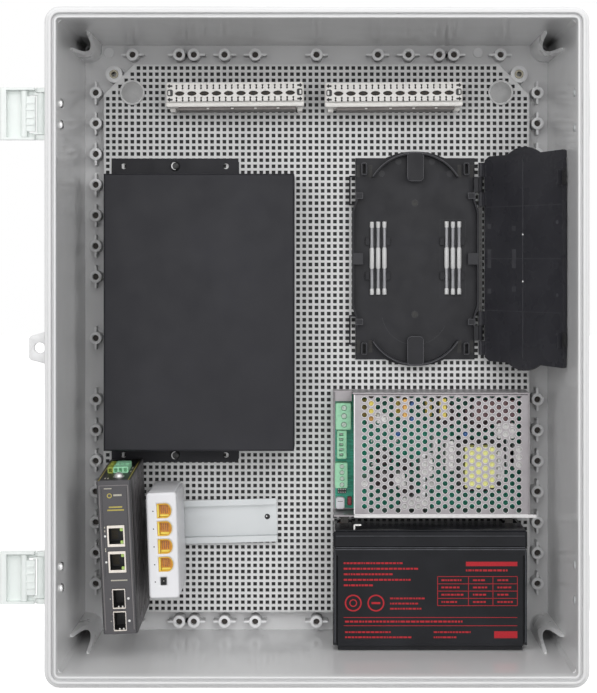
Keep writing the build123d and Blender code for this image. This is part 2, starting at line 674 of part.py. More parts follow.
def hinge_parts(z_mid):
    """One hinge leaf on the right wall and its lift-off pin."""
    y_front = RIM_Y + RIM_BAND_DEPTH + 0.3
    y_screw = RIM_Y + HINGE_SCREW_BACK
    x0 = outer_half_width(y_front + HINGE_DEPTH) + 0.3
    half = HINGE_HEIGHT / 2
    leaf = block(x0, x0 + HINGE_THICK, y_front, y_front + HINGE_DEPTH, -half, half)
    leaf = fillet(leaf.edges().filter_by(Axis.X).sort_by(Axis.Y)[-2:], 3.0)
    pin_x = RIM_WIDTH / 2 - HINGE_PIN_OUT
    pin_y = RIM_Y + HINGE_PIN_BACK
    leaf += along_z(pin_x, pin_y, -half, half, HINGE_BARREL_R)
    leaf += block(x0, pin_x, pin_y - HINGE_BARREL_R, pin_y + HINGE_BARREL_R, -half, half)
    leaf -= along_z(pin_x, pin_y, -half + 3, half + 1, HINGE_PIN_ROOT_R)
    for off in (-HINGE_SCREW_SPACING / 2, HINGE_SCREW_SPACING / 2):
        leaf -= block(x0 - 1, x0 + 2.4, y_screw - SCREW_R, y_screw + SCREW_R,
                      off - SCREW_R, off + SCREW_R)
    pin = along_z(pin_x, pin_y, half, half + HINGE_PIN_FREE, HINGE_PIN_R)
    pin += upright(pin_x, pin_y, -half + 3, half + 1, HINGE_PIN_ROOT_R, 6)
    return [Pos(0, 0, z_mid) * shape for shape in (leaf, pin)]


def hinge_screws():
    """Two screws through the right wall into each hinge leaf."""
    return Compound([pan_screw_x(x - 0.05, 1, y, z, SIDE_WALL + 2.2)
                     for x, y, z in hinge_screw_places()])


def strip_parts(x_mid):
    """White contact strip, dark end caps and metal frame of one terminal strip."""
    y_front = PLATE_Y - STRIP_FRONT
    y_back = y_front + STRIP_BODY_DEPTH
    half = STRIP_LENGTH / 2
    z0, z1 = -STRIP_HEIGHT / 2, STRIP_HEIGHT / 2
    body = block(-half, half, y_back, y_front + STRIP_STEP, z0, z1)
    body += block(-half + 1, half - 1, y_back, y_front, z0 + STRIP_STEP_HEIGHT, z1)
    cuts = []
    for n in range(STRIP_SLOTS):
        x = (n - (STRIP_SLOTS - 1) / 2) * STRIP_SLOT_PITCH
        for side in (-1, 1):
            z = STRIP_MIDDLE_Z + side * (STRIP_SLOT_Z + STRIP_SLOT[1] / 2 - 1)
            cuts.append(block(x - STRIP_SLOT[0] / 2, x + STRIP_SLOT[0] / 2, y_front - 1,
                              y_front + STRIP_SLOT_DEPTH, z - STRIP_SLOT[1] / 2,
                              z + STRIP_SLOT[1] / 2))
    for n in range(STRIP_SLOTS // 2):
        x = (n - (STRIP_SLOTS / 2 - 1) / 2) * 2 * STRIP_SLOT_PITCH
        oval = Pos(x, STRIP_MIDDLE_Z) * Rectangle(*STRIP_OVAL)
        cuts.append(slab(oval, y_front + STRIP_SLOT_DEPTH, y_front - 1))
    for side in (-1, 1):
        x = side * (half - 4.2)
        cuts.append(block(x - 2, x + 2, y_front - 1, y_front + 2, -4.5, 7))
    body = body.cut(*cuts)

    frame_half = FRAME_LENGTH / 2
    width = FRAME_WIDTH / 2
    frame = block(-frame_half, frame_half, PLATE_Y, y_back, -width, width)
    frame -= block(-frame_half - 1, frame_half + 1, PLATE_Y - FRAME_SHEET, y_back - 1,
                   -width + FRAME_SHEET, width - FRAME_SHEET)
    caps = []
    for side in (-1, 1):
        x = side * (half - 4.2)
        cap = block(x - 1.6, x + 1.6, y_front - 0.6, y_front + 2, -0.8, 3.6)
        cap += block(x - 1.2, x + 1.8, y_front - 0.3, y_front + 2, 4.2, 6.6)
        cap += block(x - 1.2, x + 1.8, y_front - 0.3, y_front + 2, -4.1, -1.6)
        cap += block(x - 0.8, x + 0.8, y_front + 1, y_front + 2, -4.1, 6.6)
        caps.append(cap)
    place = Pos(x_mid, 0, STRIP_Z) * Rot(0, -STRIP_TILT, 0)
    return [place * shape for shape in (body, frame, Compound(caps))]


def box_parts():
    """Folded base and folded cover of the black box."""
    y_base = PLATE_Y - BOX_SHEET
    y_front = PLATE_Y - BOX_HEIGHT
    inset = BOX_SHEET + 0.1
    flange_bottom, flange_top = BOX_BOTTOM - FLANGE_OUT, BOX_TOP + FLANGE_OUT
    flange = block(BOX_LEFT, FLANGE_RIGHT, PLATE_Y, y_base, flange_bottom, flange_top)
    right_edges = flange.edges().filter_by(Axis.Y).sort_by(Axis.X)[-2:]
    flange = chamfer(right_edges, FLANGE_CORNER)
    base = flange + block(BOX_LEFT + inset, BOX_RIGHT - inset, PLATE_Y, y_base,
                          BOX_BOTTOM + inset, BOX_TOP - inset)
    for x in FLANGE_HOLE_X:
        for z in FLANGE_HOLE_Z:
            base -= many_sided(x, PLATE_Y + 1, y_base - 1, z, FLANGE_HOLE_R, 8)
    cover = block(BOX_LEFT, BOX_RIGHT, y_base, y_front, BOX_BOTTOM, BOX_TOP)
    cover = fillet(cover.faces().sort_by(Axis.Y)[0].edges(), BOX_BEND)
    cover -= block(BOX_LEFT + BOX_SHEET, BOX_RIGHT - BOX_SHEET, y_base + 1, y_front + BOX_SHEET,
                   BOX_BOTTOM + BOX_SHEET, BOX_TOP - BOX_SHEET)
    return base, cover


def plate_screws():
    """Pan-head screws that hold the black box and the rail in the plate's grid."""
    shank_r = GRID_HOLE / 2 - STEM_CLEARANCE
    screws = [Pos(FLANGE_HOLE_X[1], PLATE_Y - BOX_SHEET, z) * pan_screw(BOX_SCREW_HEAD_R, 2.2, shank_r, 5.0)
              for z in FLANGE_HOLE_Z]
    screws += [Pos(x, PLATE_Y - RAIL_SHEET, z) * pan_screw(RAIL_SCREW_HEAD_R, 1.8, shank_r, 5.0)
               for x, z in RAIL_SCREWS]
    return Compound(screws)


def tray_outline(inset):
    """Half-mirrored outline of the splice tray about its own centre."""
    w, n = TRAY_HALF_WIDTH - inset, TRAY_NECK_HALF_WIDTH - inset
    h, a = TRAY_HALF_HEIGHT - inset, TRAY_ARC_HALF_HEIGHT - inset
    arc = TRAY_ARC_HALF_WIDTH
    edges = []
    for s in (1, -1):
        edges.append(Polyline((s * w, -s * TRAY_SHOULDER_Z), (s * w, s * TRAY_SHOULDER_Z),
                              (s * n, s * TRAY_NECK_Z), (s * n, s * h), (s * arc, s * h)))
        edges.append(ThreePointArc((s * arc, s * h), (0, s * a), (-s * arc, s * h)))
        edges.append(Polyline((-s * arc, s * h), (-s * n, s * h), (-s * n, s * TRAY_NECK_Z),
                              (-s * w, s * TRAY_SHOULDER_Z)))
    return make_face(edges)


def splice_tray():
    """The tray: floor, side walls, routing rings, tongues and cable entries."""
    y_floor = PLATE_Y - TRAY_FLOOR
    y_top = PLATE_Y - TRAY_DEPTH
    tray = slab(tray_outline(0), PLATE_Y, y_floor)
    straight = TRAY_NECK_Z + 8
    wall = tray_outline(0) - tray_outline(TRAY_WALL)
    wall &= Rectangle(2 * TRAY_HALF_WIDTH + 2, 2 * straight)
    tray += slab(wall, y_floor + 1, y_top)
    ring = Circle(TRAY_RING_R) - Circle(TRAY_RING_R - TRAY_WALL)
    for s in (1, -1):
        centre = TRAY_ARC_HALF_HEIGHT - 1 - TRAY_RING_R
        keep = Pos(0, s * (centre + TRAY_RING_R)) * Rectangle(2 * TRAY_ARC_HALF_WIDTH + 22, 40)
        tray += slab((Pos(0, s * centre) * ring) & keep, y_floor + 1, y_top)
        tongue_z = s * (TRAY_ARC_HALF_HEIGHT - TONGUE_LENGTH / 2 - 0.6)
        tongue = chamfer(Rectangle(TONGUE_WIDTH, TONGUE_LENGTH).vertices(), 3.5)
        tray += slab(Pos(0, tongue_z) * tongue, y_top + 1.6, y_top)
        stem = Pos(0, s * (TRAY_ARC_HALF_HEIGHT - 3.2)) * Rectangle(TONGUE_WIDTH, 2)
        tray += slab(stem, y_floor + 1, y_top + 1)
        tray -= many_sided(0, PLATE_Y + 1, y_top - 1, s * TRAY_HOLE_Z, TRAY_HOLE_R, 8)
        for side in (-1, 1):
            x = side * (TRAY_NECK_HALF_WIDTH - 7)
            z = s * (TRAY_HALF_HEIGHT - 9)
            finger = chamfer(Rectangle(4.6, 10).vertices(), 1.3) - Rectangle(2.2, 7.4)
            tray += slab(Pos(x, z) * finger, y_floor + 1, y_top + 2)
            tray -= slab(Pos(x - side * 5.2, z - s * 1.5) * Rectangle(3.2, 5), PLATE_Y + 1, y_top - 1)
            tray -= slab(Pos(x + side * 4.6, z - s * 1.5) * Rectangle(2.8, 5), PLATE_Y + 1, y_top - 1)
            tab = Rectangle(6, 5)
            tray += slab(Pos(side * (TRAY_NECK_HALF_WIDTH - 3), s * 51) * tab, y_top + 1.2, y_top)
    for side in (-1, 1):
        tray += slab(Pos(side * (TRAY_HALF_WIDTH - 4.5), 0) * Rectangle(9, 9.5), y_top + 1.2, y_top)
        comb = Pos(side * SLEEVE_GROUP_X, 0) * Rectangle(4 * SLEEVE_PITCH, 6)
        for s in (1, -1):
            holder = slab(Pos(0, s * 14) * comb, y_floor + 0.5, y_floor - 3)
            for n in (-1, 0, 1):
                x = side * SLEEVE_GROUP_X + n * SLEEVE_PITCH
                holder -= block(x - SLEEVE_R, x + SLEEVE_R, y_floor - 0.2, y_floor - 9,
                                s * 14 - 4, s * 14 + 4)
            tray += holder
    hinge_x = TRAY_HALF_WIDTH + LID_HINGE_GAP
    for z in (-LID_HINGE_Z, LID_HINGE_Z):
        knuckle = upright(hinge_x, y_top, z - 6, z + 6, LID_KNUCKLE_R, 8)
        arm = block(TRAY_NECK_HALF_WIDTH - 1.2, hinge_x, y_top, y_floor + 1, z - 6, z + 6)
        tray += (arm + knuckle) - along_z(hinge_x, y_top, z - 7, z + 7, LID_PIN_R + PIN_CLEARANCE)
    return Pos(TRAY_X, 0, TRAY_Z) * tray


def splice_lid():
    """The tray's lid, swung open until its free edge leans near the right wall."""
    hinge_x = TRAY_HALF_WIDTH + LID_HINGE_GAP
    y_top = PLATE_Y - TRAY_DEPTH
    h = TRAY_HALF_HEIGHT + 0.6
    bump = h + TRAY_ARC_HALF_HEIGHT - TRAY_HALF_HEIGHT
    mid = -hinge_x
    near, far = -2.6, -hinge_x - TRAY_HALF_WIDTH
    neck = -hinge_x - TRAY_NECK_HALF_WIDTH
    arc = TRAY_ARC_HALF_WIDTH - 4
    upper = Polyline((near, h - 3), (near - 6, h), (mid + arc, h))
    crown = ThreePointArc((mid + arc, h), (mid, bump), (mid - arc, h))
    far_side = Polyline((mid - arc, h), (far + 2, h + 1), (far, h), (far, -h), (far + 2, -h - 1),
                        (mid - arc, -h))
    crown_low = ThreePointArc((mid - arc, -h), (mid, -bump), (mid + arc, -h))
    lower = Polyline((mid + arc, -h), (near - 6, -h), (near, -h + 3), (near, h - 3))
    outline = make_face([upper, crown, far_side, crown_low, lower])
    lid_y = -LID_KNUCKLE_R - SIDE_GAP
    lid = slab(outline, lid_y, lid_y - LID_THICK)
    lid += block(far, far + 1.4, lid_y + LID_RIM, lid_y - 1, -h + 6, h - 6)
    for z in (-62, 62):
        clip_x = neck - SIDE_GAP
        lid += block(clip_x - LID_CLIP, clip_x, lid_y + 6, lid_y - LID_THICK, z - 6, z + 6)
    lid += block(mid - 0.4, mid + 0.4, lid_y + 0.4, lid_y - 1, -h + 4, h - 4)
    knuckles = [s * LID_HINGE_Z + off for s in (-1, 1) for off in (-LID_KNUCKLE_OFF, LID_KNUCKLE_OFF)]
    for z in knuckles:
        inner = z - 5.6, z + 5.6
        knuckle = upright(0, 0, *inner, LID_KNUCKLE_R, 8)
        arm = block(near - 2, 0, -LID_KNUCKLE_R, lid_y - LID_THICK, *inner)
        link = block(-LID_KNUCKLE_R, LID_KNUCKLE_R, -0.4, lid_y - LID_THICK, *inner)
        lid += knuckle + arm + link
    for z in (-LID_HINGE_Z, LID_HINGE_Z):
        lid += along_z(0, 0, z - 7.5, z + 7.5, LID_PIN_R)
    swung = Rot(0, 0, LID_OPEN) * lid
    return Pos(TRAY_X + hinge_x, y_top, TRAY_Z) * swung


def splice_sleeves():
    """Six splice protectors in the tray's holders."""
    y = PLATE_Y - TRAY_FLOOR - 0.2 - SLEEVE_R
    half = SLEEVE_LENGTH / 2
    sleeves = []
    for side in (-1, 1):
        for n in (-1, 0, 1):
            sleeve = extrude(RegularPolygon(SLEEVE_R, 10), half, both=True)
            sleeves.append(Pos(TRAY_X + side * SLEEVE_GROUP_X + n * SLEEVE_PITCH, y, TRAY_Z) * sleeve)
    return Compound(sleeves)


def supply_chassis():
    """Folded chassis: a floor, two side walls and a tag by the terminals."""
    y_front = PLATE_Y - SUPPLY_HEIGHT
    tray = block(SUPPLY_LEFT, SUPPLY_RIGHT, PLATE_Y, y_front + 2, SUPPLY_BOTTOM, SUPPLY_TOP)
    tray -= block(SUPPLY_LEFT - 1, SUPPLY_RIGHT - SUPPLY_SHEET, PLATE_Y - SUPPLY_SHEET, y_front - 1,
                  SUPPLY_BOTTOM + SUPPLY_SHEET, SUPPLY_TOP - SUPPLY_SHEET)
    open_y = PLATE_Y - SUPPLY_OPEN_HEIGHT
    tray -= block(SUPPLY_LEFT - 1, COVER_LEFT - 1, open_y, y_front - 1,
                  SUPPLY_BOTTOM + SUPPLY_SHEET, SUPPLY_TOP + 1)
    tag = block(SUPPLY_LEFT + 1.4, COVER_LEFT - 1.2, open_y + 1, open_y - 1, SUPPLY_TOP - 8.5,
                SUPPLY_TOP - 0.2)
    return tray + tag


def supply_cover():
    """Folded cover over the board, with rows of round vents."""
    y_front = PLATE_Y - SUPPLY_HEIGHT
    inset = SUPPLY_SHEET + SUPPLY_GAP
    z0, z1 = SUPPLY_BOTTOM + inset, SUPPLY_TOP - inset
    x1 = SUPPLY_RIGHT - inset
    cover = block(COVER_LEFT, x1, PLATE_Y - COVER_SIDE_HEIGHT, y_front, z0, z1)
    cover -= block(COVER_LEFT - 1, x1 + 1, PLATE_Y, y_front + SUPPLY_SHEET,
                   z0 + SUPPLY_SHEET, z1 - SUPPLY_SHEET)
    lip = block(COVER_LEFT, COVER_LEFT + SUPPLY_SHEET, y_front + COVER_LIP, y_front,
                z0 + SUPPLY_SHEET, z1 - SUPPLY_SHEET)
    cover += lip
    step = VENT_PITCH * cos(radians(30))
    x_mid = (COVER_LEFT + x1) / 2
    z_mid = (z0 + z1) / 2
    vents = []
    for column in range(1, VENT_COLUMNS, VENT_STEP_X):
        x = x_mid + (column - (VENT_COLUMNS - 1) / 2) * step
        shift = VENT_PITCH / 2 if column % 2 else 0
        for row in range(1, VENT_ROWS - 1, VENT_STEP_Z):
            z = z_mid + (row - (VENT_ROWS - 1) / 2) * VENT_PITCH + shift - VENT_PITCH / 4
            vents.append(many_sided(x, y_front + SUPPLY_SHEET + 1, y_front - 1, z, VENT_R, 6))
    return cover.cut(*vents)


def supply_parts():
    """Board and what stands on it."""
    y_back = PLATE_Y - BOARD_UNDER
    y_top = y_back - BOARD_THICK
    edge = SUPPLY_SHEET + 1.8
    board = block(SUPPLY_LEFT + 1.6, SUPPLY_RIGHT - edge - 1, y_back, y_top,
                  SUPPLY_BOTTOM + edge, SUPPLY_TOP - edge)
    spacer_r = 2.5
    for x in (SUPPLY_LEFT + 22, SUPPLY_RIGHT - 10):
        for z in (SUPPLY_BOTTOM + 8, SUPPLY_TOP - 8):
            board += many_sided(x, PLATE_Y - SUPPLY_SHEET, y_back - 0.5, z, spacer_r, 6)

    def stands(place):
        left, right, bottom, top, height = place
        return block(left, right, y_top, PLATE_Y - height, SUPPLY_BOTTOM + bottom, SUPPLY_BOTTOM + top)

    screws_3 = stands(TERMINAL_INPUT)
    front = PLATE_Y - TERMINAL_INPUT[-1]
    for rise in INPUT_SCREWS_Z:
        z = SUPPLY_BOTTOM + rise
        screws_3 -= many_sided(INPUT_SCREW_X, front + 3, front - 1, z, 2.3, 8)
        screws_3 -= block(TERMINAL_INPUT[0] - 1, 18, front + 11, front + 4, z - 2.2, z + 2.2)
    plug = stands(SUPPLY_PLUG)
    front = PLATE_Y - SUPPLY_PLUG[-1]
    for n in range(5):
        z = SUPPLY_BOTTOM + PLUG_HOLE_Z - n * PLUG_PITCH
        plug -= block(18.6, 21.4, front + 2, front - 1, z - 1.2, z + 1.2)
    screws_4 = stands(TERMINAL_OUTPUT)
    front = PLATE_Y - TERMINAL_OUTPUT[-1]
    for n in range(4):
        z = SUPPLY_BOTTOM + OUTPUT_SCREW_Z - n * OUTPUT_PITCH
        screws_4 -= many_sided(OUTPUT_SCREW_X, front + 3, front - 1, z, 1.8, 8)
        screws_4 -= block(TERMINAL_OUTPUT[0] - 1, 17, front + 10, front + 4, z - 1.7, z + 1.7)
    header = stands(SUPPLY_HEADER)
    front = PLATE_Y - SUPPLY_HEADER[-1]
    for n in range(4):
        z = SUPPLY_BOTTOM + SUPPLY_HEADER[3] - 1 - n
        header += block(18.2, 18.8, front + 1, front - 4, z - 0.2, z + 0.2)
    relay = fillet(stands(SUPPLY_RELAY).edges().filter_by(Axis.Y), 0.6)
    fuse = stands(SUPPLY_FUSE)
    fuse = fillet(fuse.faces().sort_by(Axis.Y)[0].edges(), 0.8)
    core = stands(CORE_BARS[0])
    for bar in CORE_BARS[1:]:
        core += stands(bar)
    angle = stands(HEAT_SINKS[0]) + stands(HEAT_SINKS[1])
    heat_sinks = Compound([angle] + [stands(place) for place in HEAT_SINKS[2:]])
    cans = [many_sided(x, y_top, PLATE_Y - height, SUPPLY_BOTTOM + rise, radius, 12)
            for x, rise, radius, height in CAPACITORS]
    return {
        "supply_board": board,
        "supply_terminal_input": screws_3,
        "supply_plug": plug,
        "supply_terminal_output": screws_4,
        "supply_header": header,
        "supply_relay": relay,
        "supply_fuse": fuse,
        "supply_transformer": stands(TRANSFORMER),
        "supply_core": core,
        "supply_heat_sinks": heat_sinks,
        "supply_capacitors": Compound(cans),
        "supply_film_capacitors": Compound([stands(place) for place in FILM_CAPACITORS]),
    }


def battery_parts():
    """Case, lid and flat tabs of the battery, standing on the bottom wall."""
    z0 = -INNER_HALF_H
    z_seam = z0 + BATTERY_CASE_HEIGHT
    z_top = z_seam + BATTERY_LID_HEIGHT
    y_back = PLATE_Y - PLATE_FIXING_HEAD - BATTERY_GAP
    y_front = y_back - BATTERY_DEPTH
    half = BATTERY_WIDTH / 2
    x0, x1 = BATTERY_X - half, BATTERY_X + half
    case = block(x0, x1, y_back, y_front, z0, z_seam - BATTERY_SEAM)
    case = chamfer(case.edges().filter_by(Axis.Z), BATTERY_CORNER)
    case = chamfer(case.faces().sort_by(Axis.Z)[0].edges(), 1.2)
    case += block(x0 + 1, x1 - 1, y_back - 1, y_front + 1, z_seam - 2 * BATTERY_SEAM, z_seam)
    lid = block(x0, x1, y_back, y_front, z_seam, z_top)
    lid = chamfer(lid.edges().filter_by(Axis.Z), BATTERY_CORNER)
    lid = chamfer(lid.faces().sort_by(Axis.Z)[-1].edges(), 1.0)
    wells = []
    tabs = []
    for side in (-1, 1):
        x = BATTERY_X + side * (half - 9.5)
        y = y_back - 12 - TAB_WIDTH
        wells.append(block(x - 6, x + 6, y - 8, y + 8, z_top - 2, z_top + 1))
        tab = block(x - TAB_WIDTH / 2, x + TAB_WIDTH / 2, y, y + TAB_SHEET, z_top - 2,
                    z_top - 2 + TAB_HEIGHT)
        tab += block(x - TAB_WIDTH / 2, x + TAB_WIDTH / 2, y - 4, y + 4, z_top - 2, z_top - 1.2)
        tabs.append(tab)
    return case, lid.cut(*wells), Compound(tabs)


def mounting_rail():
    """Top-hat rail, tilted as it is fixed."""
    half, inner = RAIL_WIDTH / 2, RAIL_CHANNEL / 2
    y1, t = PLATE_Y - RAIL_DEPTH, RAIL_SHEET
    points = ((PLATE_Y, -inner), (PLATE_Y, inner), (y1 + t, inner), (y1 + t, half), (y1, half),
              (y1, inner - t), (PLATE_Y - t, inner - t), (PLATE_Y - t, -inner + t),
              (y1, -inner + t), (y1, -half), (y1 + t, -half), (y1 + t, -inner))
    profile = Plane.YZ * make_face(Polyline(*points, close=True))
    rail = extrude(profile, RAIL_LENGTH / 2, both=True)
    rail = Pos(RAIL_X, 0, RAIL_Z) * Rot(0, -RAIL_TILT, 0) * rail
    for x, z in RAIL_SCREWS:
        rail -= block(x - GRID_HOLE / 2, x + GRID_HOLE / 2, PLATE_Y + 1, y1 - 1,
                      z - GRID_HOLE / 2, z + GRID_HOLE / 2)
    return rail


def rail_z(x):
    """Height of the tilted rail's middle line at x."""
    return RAIL_Z + (x - RAIL_X) * tan(radians(RAIL_TILT))


def rail_clip(width):
    """A clip round the rail's edges, with its front on the device's back."""
    half = RAIL_WIDTH / 2
    clip = block(-width / 2, width / 2, 0, -3.0, -half - 4, half + 4)
    for side in (-1, 1):
        clip += block(-width / 2, width / 2, 0, 2.6, side * (half + 0.6), side * (half + 4))
        clip += block(-width / 2, width / 2, 1.6, 2.8, side * (half - 2.5), side * (half + 4))
    return clip


def switch_parts():
    """Tall dark switch: housing, front, jacks, cages, terminal, earth screw and clip."""
    w, h = SWITCH_WIDTH / 2, SWITCH_HEIGHT / 2
    front = -SWITCH_DEPTH
    body = block(-w, w, 0, front + SWITCH_FRONT_THICK, -h, h)
    ribs = []
    for side in (-1, 1):
        for n in range(6):
            y = -14 - n * 10
            ribs.append(block(side * (w - 0.8), side * (w + 1), y, y - 4, -h + 8, h - 8))
    body = body.cut(*ribs)
    plate = block(-w, w, front + SWITCH_FRONT_THICK, front, -h, h)
    plate = chamfer(plate.faces().sort_by(Axis.Y)[0].edges().filter_by(Axis.Z), 1.6)
    jacks, cages = [], []
    face = front - 0.6
    for z in JACK_Z:
        hole = block(-JACK_OUTER[0] / 2 - 0.1, JACK_OUTER[0] / 2 + 0.1, front - 1, front + JACK_DEPTH + 2,
                     z - JACK_OUTER[1] / 2 - 0.1, z + JACK_OUTER[1] / 2 + 0.1)
        plate -= hole
        body -= hole
        jack = block(-JACK_OUTER[0] / 2, JACK_OUTER[0] / 2, face, front + JACK_DEPTH + 2,
                     z - JACK_OUTER[1] / 2, z + JACK_OUTER[1] / 2)
        jack -= block(-JACK_HOLE[0] / 2, JACK_HOLE[0] / 2, face - 1, front + JACK_DEPTH,
                      z - JACK_HOLE[1] / 2, z + JACK_HOLE[1] / 2)
        jacks.append(jack)
    for z in CAGE_Z:
        hole = block(-CAGE_OUTER[0] / 2 - 0.1, CAGE_OUTER[0] / 2 + 0.1, front - 1,
                     front + CAGE_DEPTH + 1, z - CAGE_OUTER[1] / 2 - 0.1, z + CAGE_OUTER[1] / 2 + 0.1)
        plate -= hole
        body -= hole
        cage = block(-CAGE_OUTER[0] / 2, CAGE_OUTER[0] / 2, face, front + CAGE_DEPTH + 1,
                     z - CAGE_OUTER[1] / 2, z + CAGE_OUTER[1] / 2)
        cage -= block(-CAGE_HOLE[0] / 2, CAGE_HOLE[0] / 2, face - 1, front + CAGE_DEPTH,
                      z - CAGE_HOLE[1] / 2, z + CAGE_HOLE[1] / 2)
        cages.append(cage)
    terminal = block(-8.0, 8.0, -34, -60, h, h + 5.0)
    for n in range(4):
        x = -6 + n * 4
        terminal -= block(x - 1.3, x + 1.3, -56, -61, h + 1.2, h + 4.0)
        terminal -= block(x - 1.2, x + 1.2, -49.2, -46.8, h + 3, h + 6)
    earth_place = Pos(*EARTH_SCREW, h) * Rot(-90, 0, 0)
    earth = earth_place * pan_screw(3.6, 3.6, SCREW_R, 4.0)
    body -= earth_place * many_sided(0, 5, -1, 0, SCREW_R, 8)
    clip = rail_clip(SWITCH_WIDTH - 4)
    z_rail = rail_z(SWITCH_X)
    place = Pos(SWITCH_X, PLATE_Y - SWITCH_OFF_RAIL, SWITCH_Z)
    place *= Rot(SWITCH_DROOP, -SWITCH_ROLL, -SWITCH_YAW)
    clip_place = Pos(SWITCH_X, PLATE_Y - RAIL_DEPTH, z_rail) * Rot(0, -RAIL_TILT, 0)
    shapes = (body, plate, Compound(jacks), Compound(cages), terminal, earth)
    return [place * shape for shape in shapes] + [clip_place * clip]


def hub_parts():
    """White four-port terminal: housing, front, yellow jacks, socket and clip."""
    w, h = HUB_WIDTH / 2, HUB_HEIGHT / 2
    front = -HUB_DEPTH
    body = block(-w - 0.8, w + 0.8, 0, front + 12, -h, h)
    body = fillet(body.edges().filter_by(Axis.Y), 2.0)
    face = block(-w, w, front + 12, front, -h + 0.4, h - 0.4)
    face = fillet(face.faces().sort_by(Axis.Y)[0].edges(), 1.6)
    jacks = []
    for n in range(4):
        z = HUB_JACK_TOP_Z - n * HUB_JACK_PITCH
        mouth = Pos(HUB_JACK_X, z) * Rectangle(HUB_JACK[0] + 0.2, HUB_JACK[1] + 0.2)
        cut = slab(mouth, front + HUB_JACK_DEPTH + 2, front - 1)
        face -= cut
        body -= cut
        outer = slab(Pos(HUB_JACK_X, z) * Rectangle(*HUB_JACK), front + HUB_JACK_DEPTH + 2, front - 0.1)
        inner = Pos(HUB_JACK_X, z) * Rectangle(HUB_JACK[0] - 2.0, HUB_JACK[1] - 2.4)
        jacks.append(outer - slab(inner, front + HUB_JACK_DEPTH, front - 1))
    x = HUB_JACK_X - 2.2
    mouth = Pos(x, HUB_SOCKET_Z) * Rectangle(*HUB_SOCKET)
    face -= slab(mouth, front + 6, front - 1)
    socket = slab(mouth, front + 6, front + 0.6)
    socket -= slab(Pos(x, HUB_SOCKET_Z) * Rectangle(HUB_SOCKET[0] - 1.4, HUB_SOCKET[1] - 1.6),
                   front + 4, front - 1)
    clip = rail_clip(HUB_WIDTH - 4)
    clip += block(-HUB_WIDTH / 2 + 2, HUB_WIDTH / 2 - 2, -3, RAIL_DEPTH - HUB_OFF_RAIL, -12, 12)
    place = Pos(HUB_X, PLATE_Y - HUB_OFF_RAIL, HUB_Z) * Rot(0, -HUB_ROLL, 0)
    clip_place = Pos(HUB_X, PLATE_Y - RAIL_DEPTH, rail_z(HUB_X)) * Rot(0, -RAIL_TILT, 0)
    shapes = (body, face, Compound(jacks), socket)
    return [place * shape for shape in shapes] + [clip_place * clip]


def build_nodes():
    """Every sub-part by its node name."""
    nodes = {
        "enclosure_base": enclosure_base(),
        "enclosure_rim": enclosure_rim(),
        "corner_channels": corner_channels(),
        "base_posts": base_posts(),
        "base_bosses": base_bosses(),
        "post_inserts": post_inserts(),
        "mounting_plate": mounting_plate(),
        "plate_fixings": plate_fixings(),
        "plate_screws": plate_screws(),
        "mounting_rail": mounting_rail(),
        "latch_screws": latch_screws(),
        "hinge_screws": hinge_screws(),
        "splice_tray": splice_tray(),
        "splice_lid": splice_lid(),
        "splice_sleeves": splice_sleeves(),
        "supply_chassis": supply_chassis(),
        "supply_cover": supply_cover(),
    }
    latches = [latch_parts(side * LATCH_Z) for side in (1, -1)]
    nodes["latch_brackets"] = Compound([latch[0] for latch in latches])
    nodes["latch_pins"] = Compound([latch[3] for latch in latches])
    for end, latch in zip(("top", "bottom"), latches):
        nodes["latch_lever_" + end] = latch[1]
        nodes["latch_claw_" + end] = latch[2]
    hinges = [hinge_parts(side * HINGE_Z) for side in (1, -1)]
    nodes["hinge_leaves"] = Compound([hinge[0] for hinge in hinges])
    nodes["hinge_pins"] = Compound([hinge[1] for hinge in hinges])
    strips = [strip_parts(x) for x in (STRIP_LEFT_X, STRIP_RIGHT_X)]
    for end, strip in zip(("left", "right"), strips):
        nodes["strip_body_" + end] = strip[0]
        nodes["strip_frame_" + end] = strip[1]
    nodes["strip_caps"] = Compound([strip[2] for strip in strips])
    nodes.update(zip(("box_base", "box_cover"), box_parts()))
    nodes.update(supply_parts())
    nodes.update(zip(("battery_case", "battery_lid", "battery_tabs"), battery_parts()))
    switch_names = ("switch_body", "switch_front", "switch_jacks", "switch_cages",
                    "switch_terminal", "switch_earth_screw", "switch_clip")
    nodes.update(zip(switch_names, switch_parts()))
    hub_names = ("hub_body", "hub_front", "hub_jacks", "hub_socket", "hub_clip")
    nodes.update(zip(hub_names, hub_parts()))
    return nodes


os.makedirs("parts", exist_ok=True)
for node_name, node_shape in build_nodes().items():
    export_step(node_shape, "parts/" + node_name + ".step")
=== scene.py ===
"""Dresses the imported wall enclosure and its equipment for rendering.

Sizes are in millimetres and become metres when a piece is placed.
X to the right, Y to the back wall, Z up. The front of the mounting plate is at Y = -18.
"""

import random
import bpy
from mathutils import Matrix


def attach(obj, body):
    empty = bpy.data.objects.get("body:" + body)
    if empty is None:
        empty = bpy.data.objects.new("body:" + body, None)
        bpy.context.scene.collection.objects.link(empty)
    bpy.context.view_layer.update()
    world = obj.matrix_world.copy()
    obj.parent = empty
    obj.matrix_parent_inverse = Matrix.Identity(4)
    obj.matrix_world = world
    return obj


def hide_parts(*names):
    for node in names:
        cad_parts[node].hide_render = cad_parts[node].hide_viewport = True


bl_info = {
    "name": "Wall enclosure dressing",
    "version": (1, 0, 0),
    "blender": (4, 5, 0),
    "location": "View3D > Sidebar > Enclosure",
    "description": "Detailed pieces and surfaces for a plastic wall enclosure with its equipment",
    "category": "Object",
}

from math import cos, pi, radians, sin

import bmesh
import bpy
from mathutils import Matrix, Vector

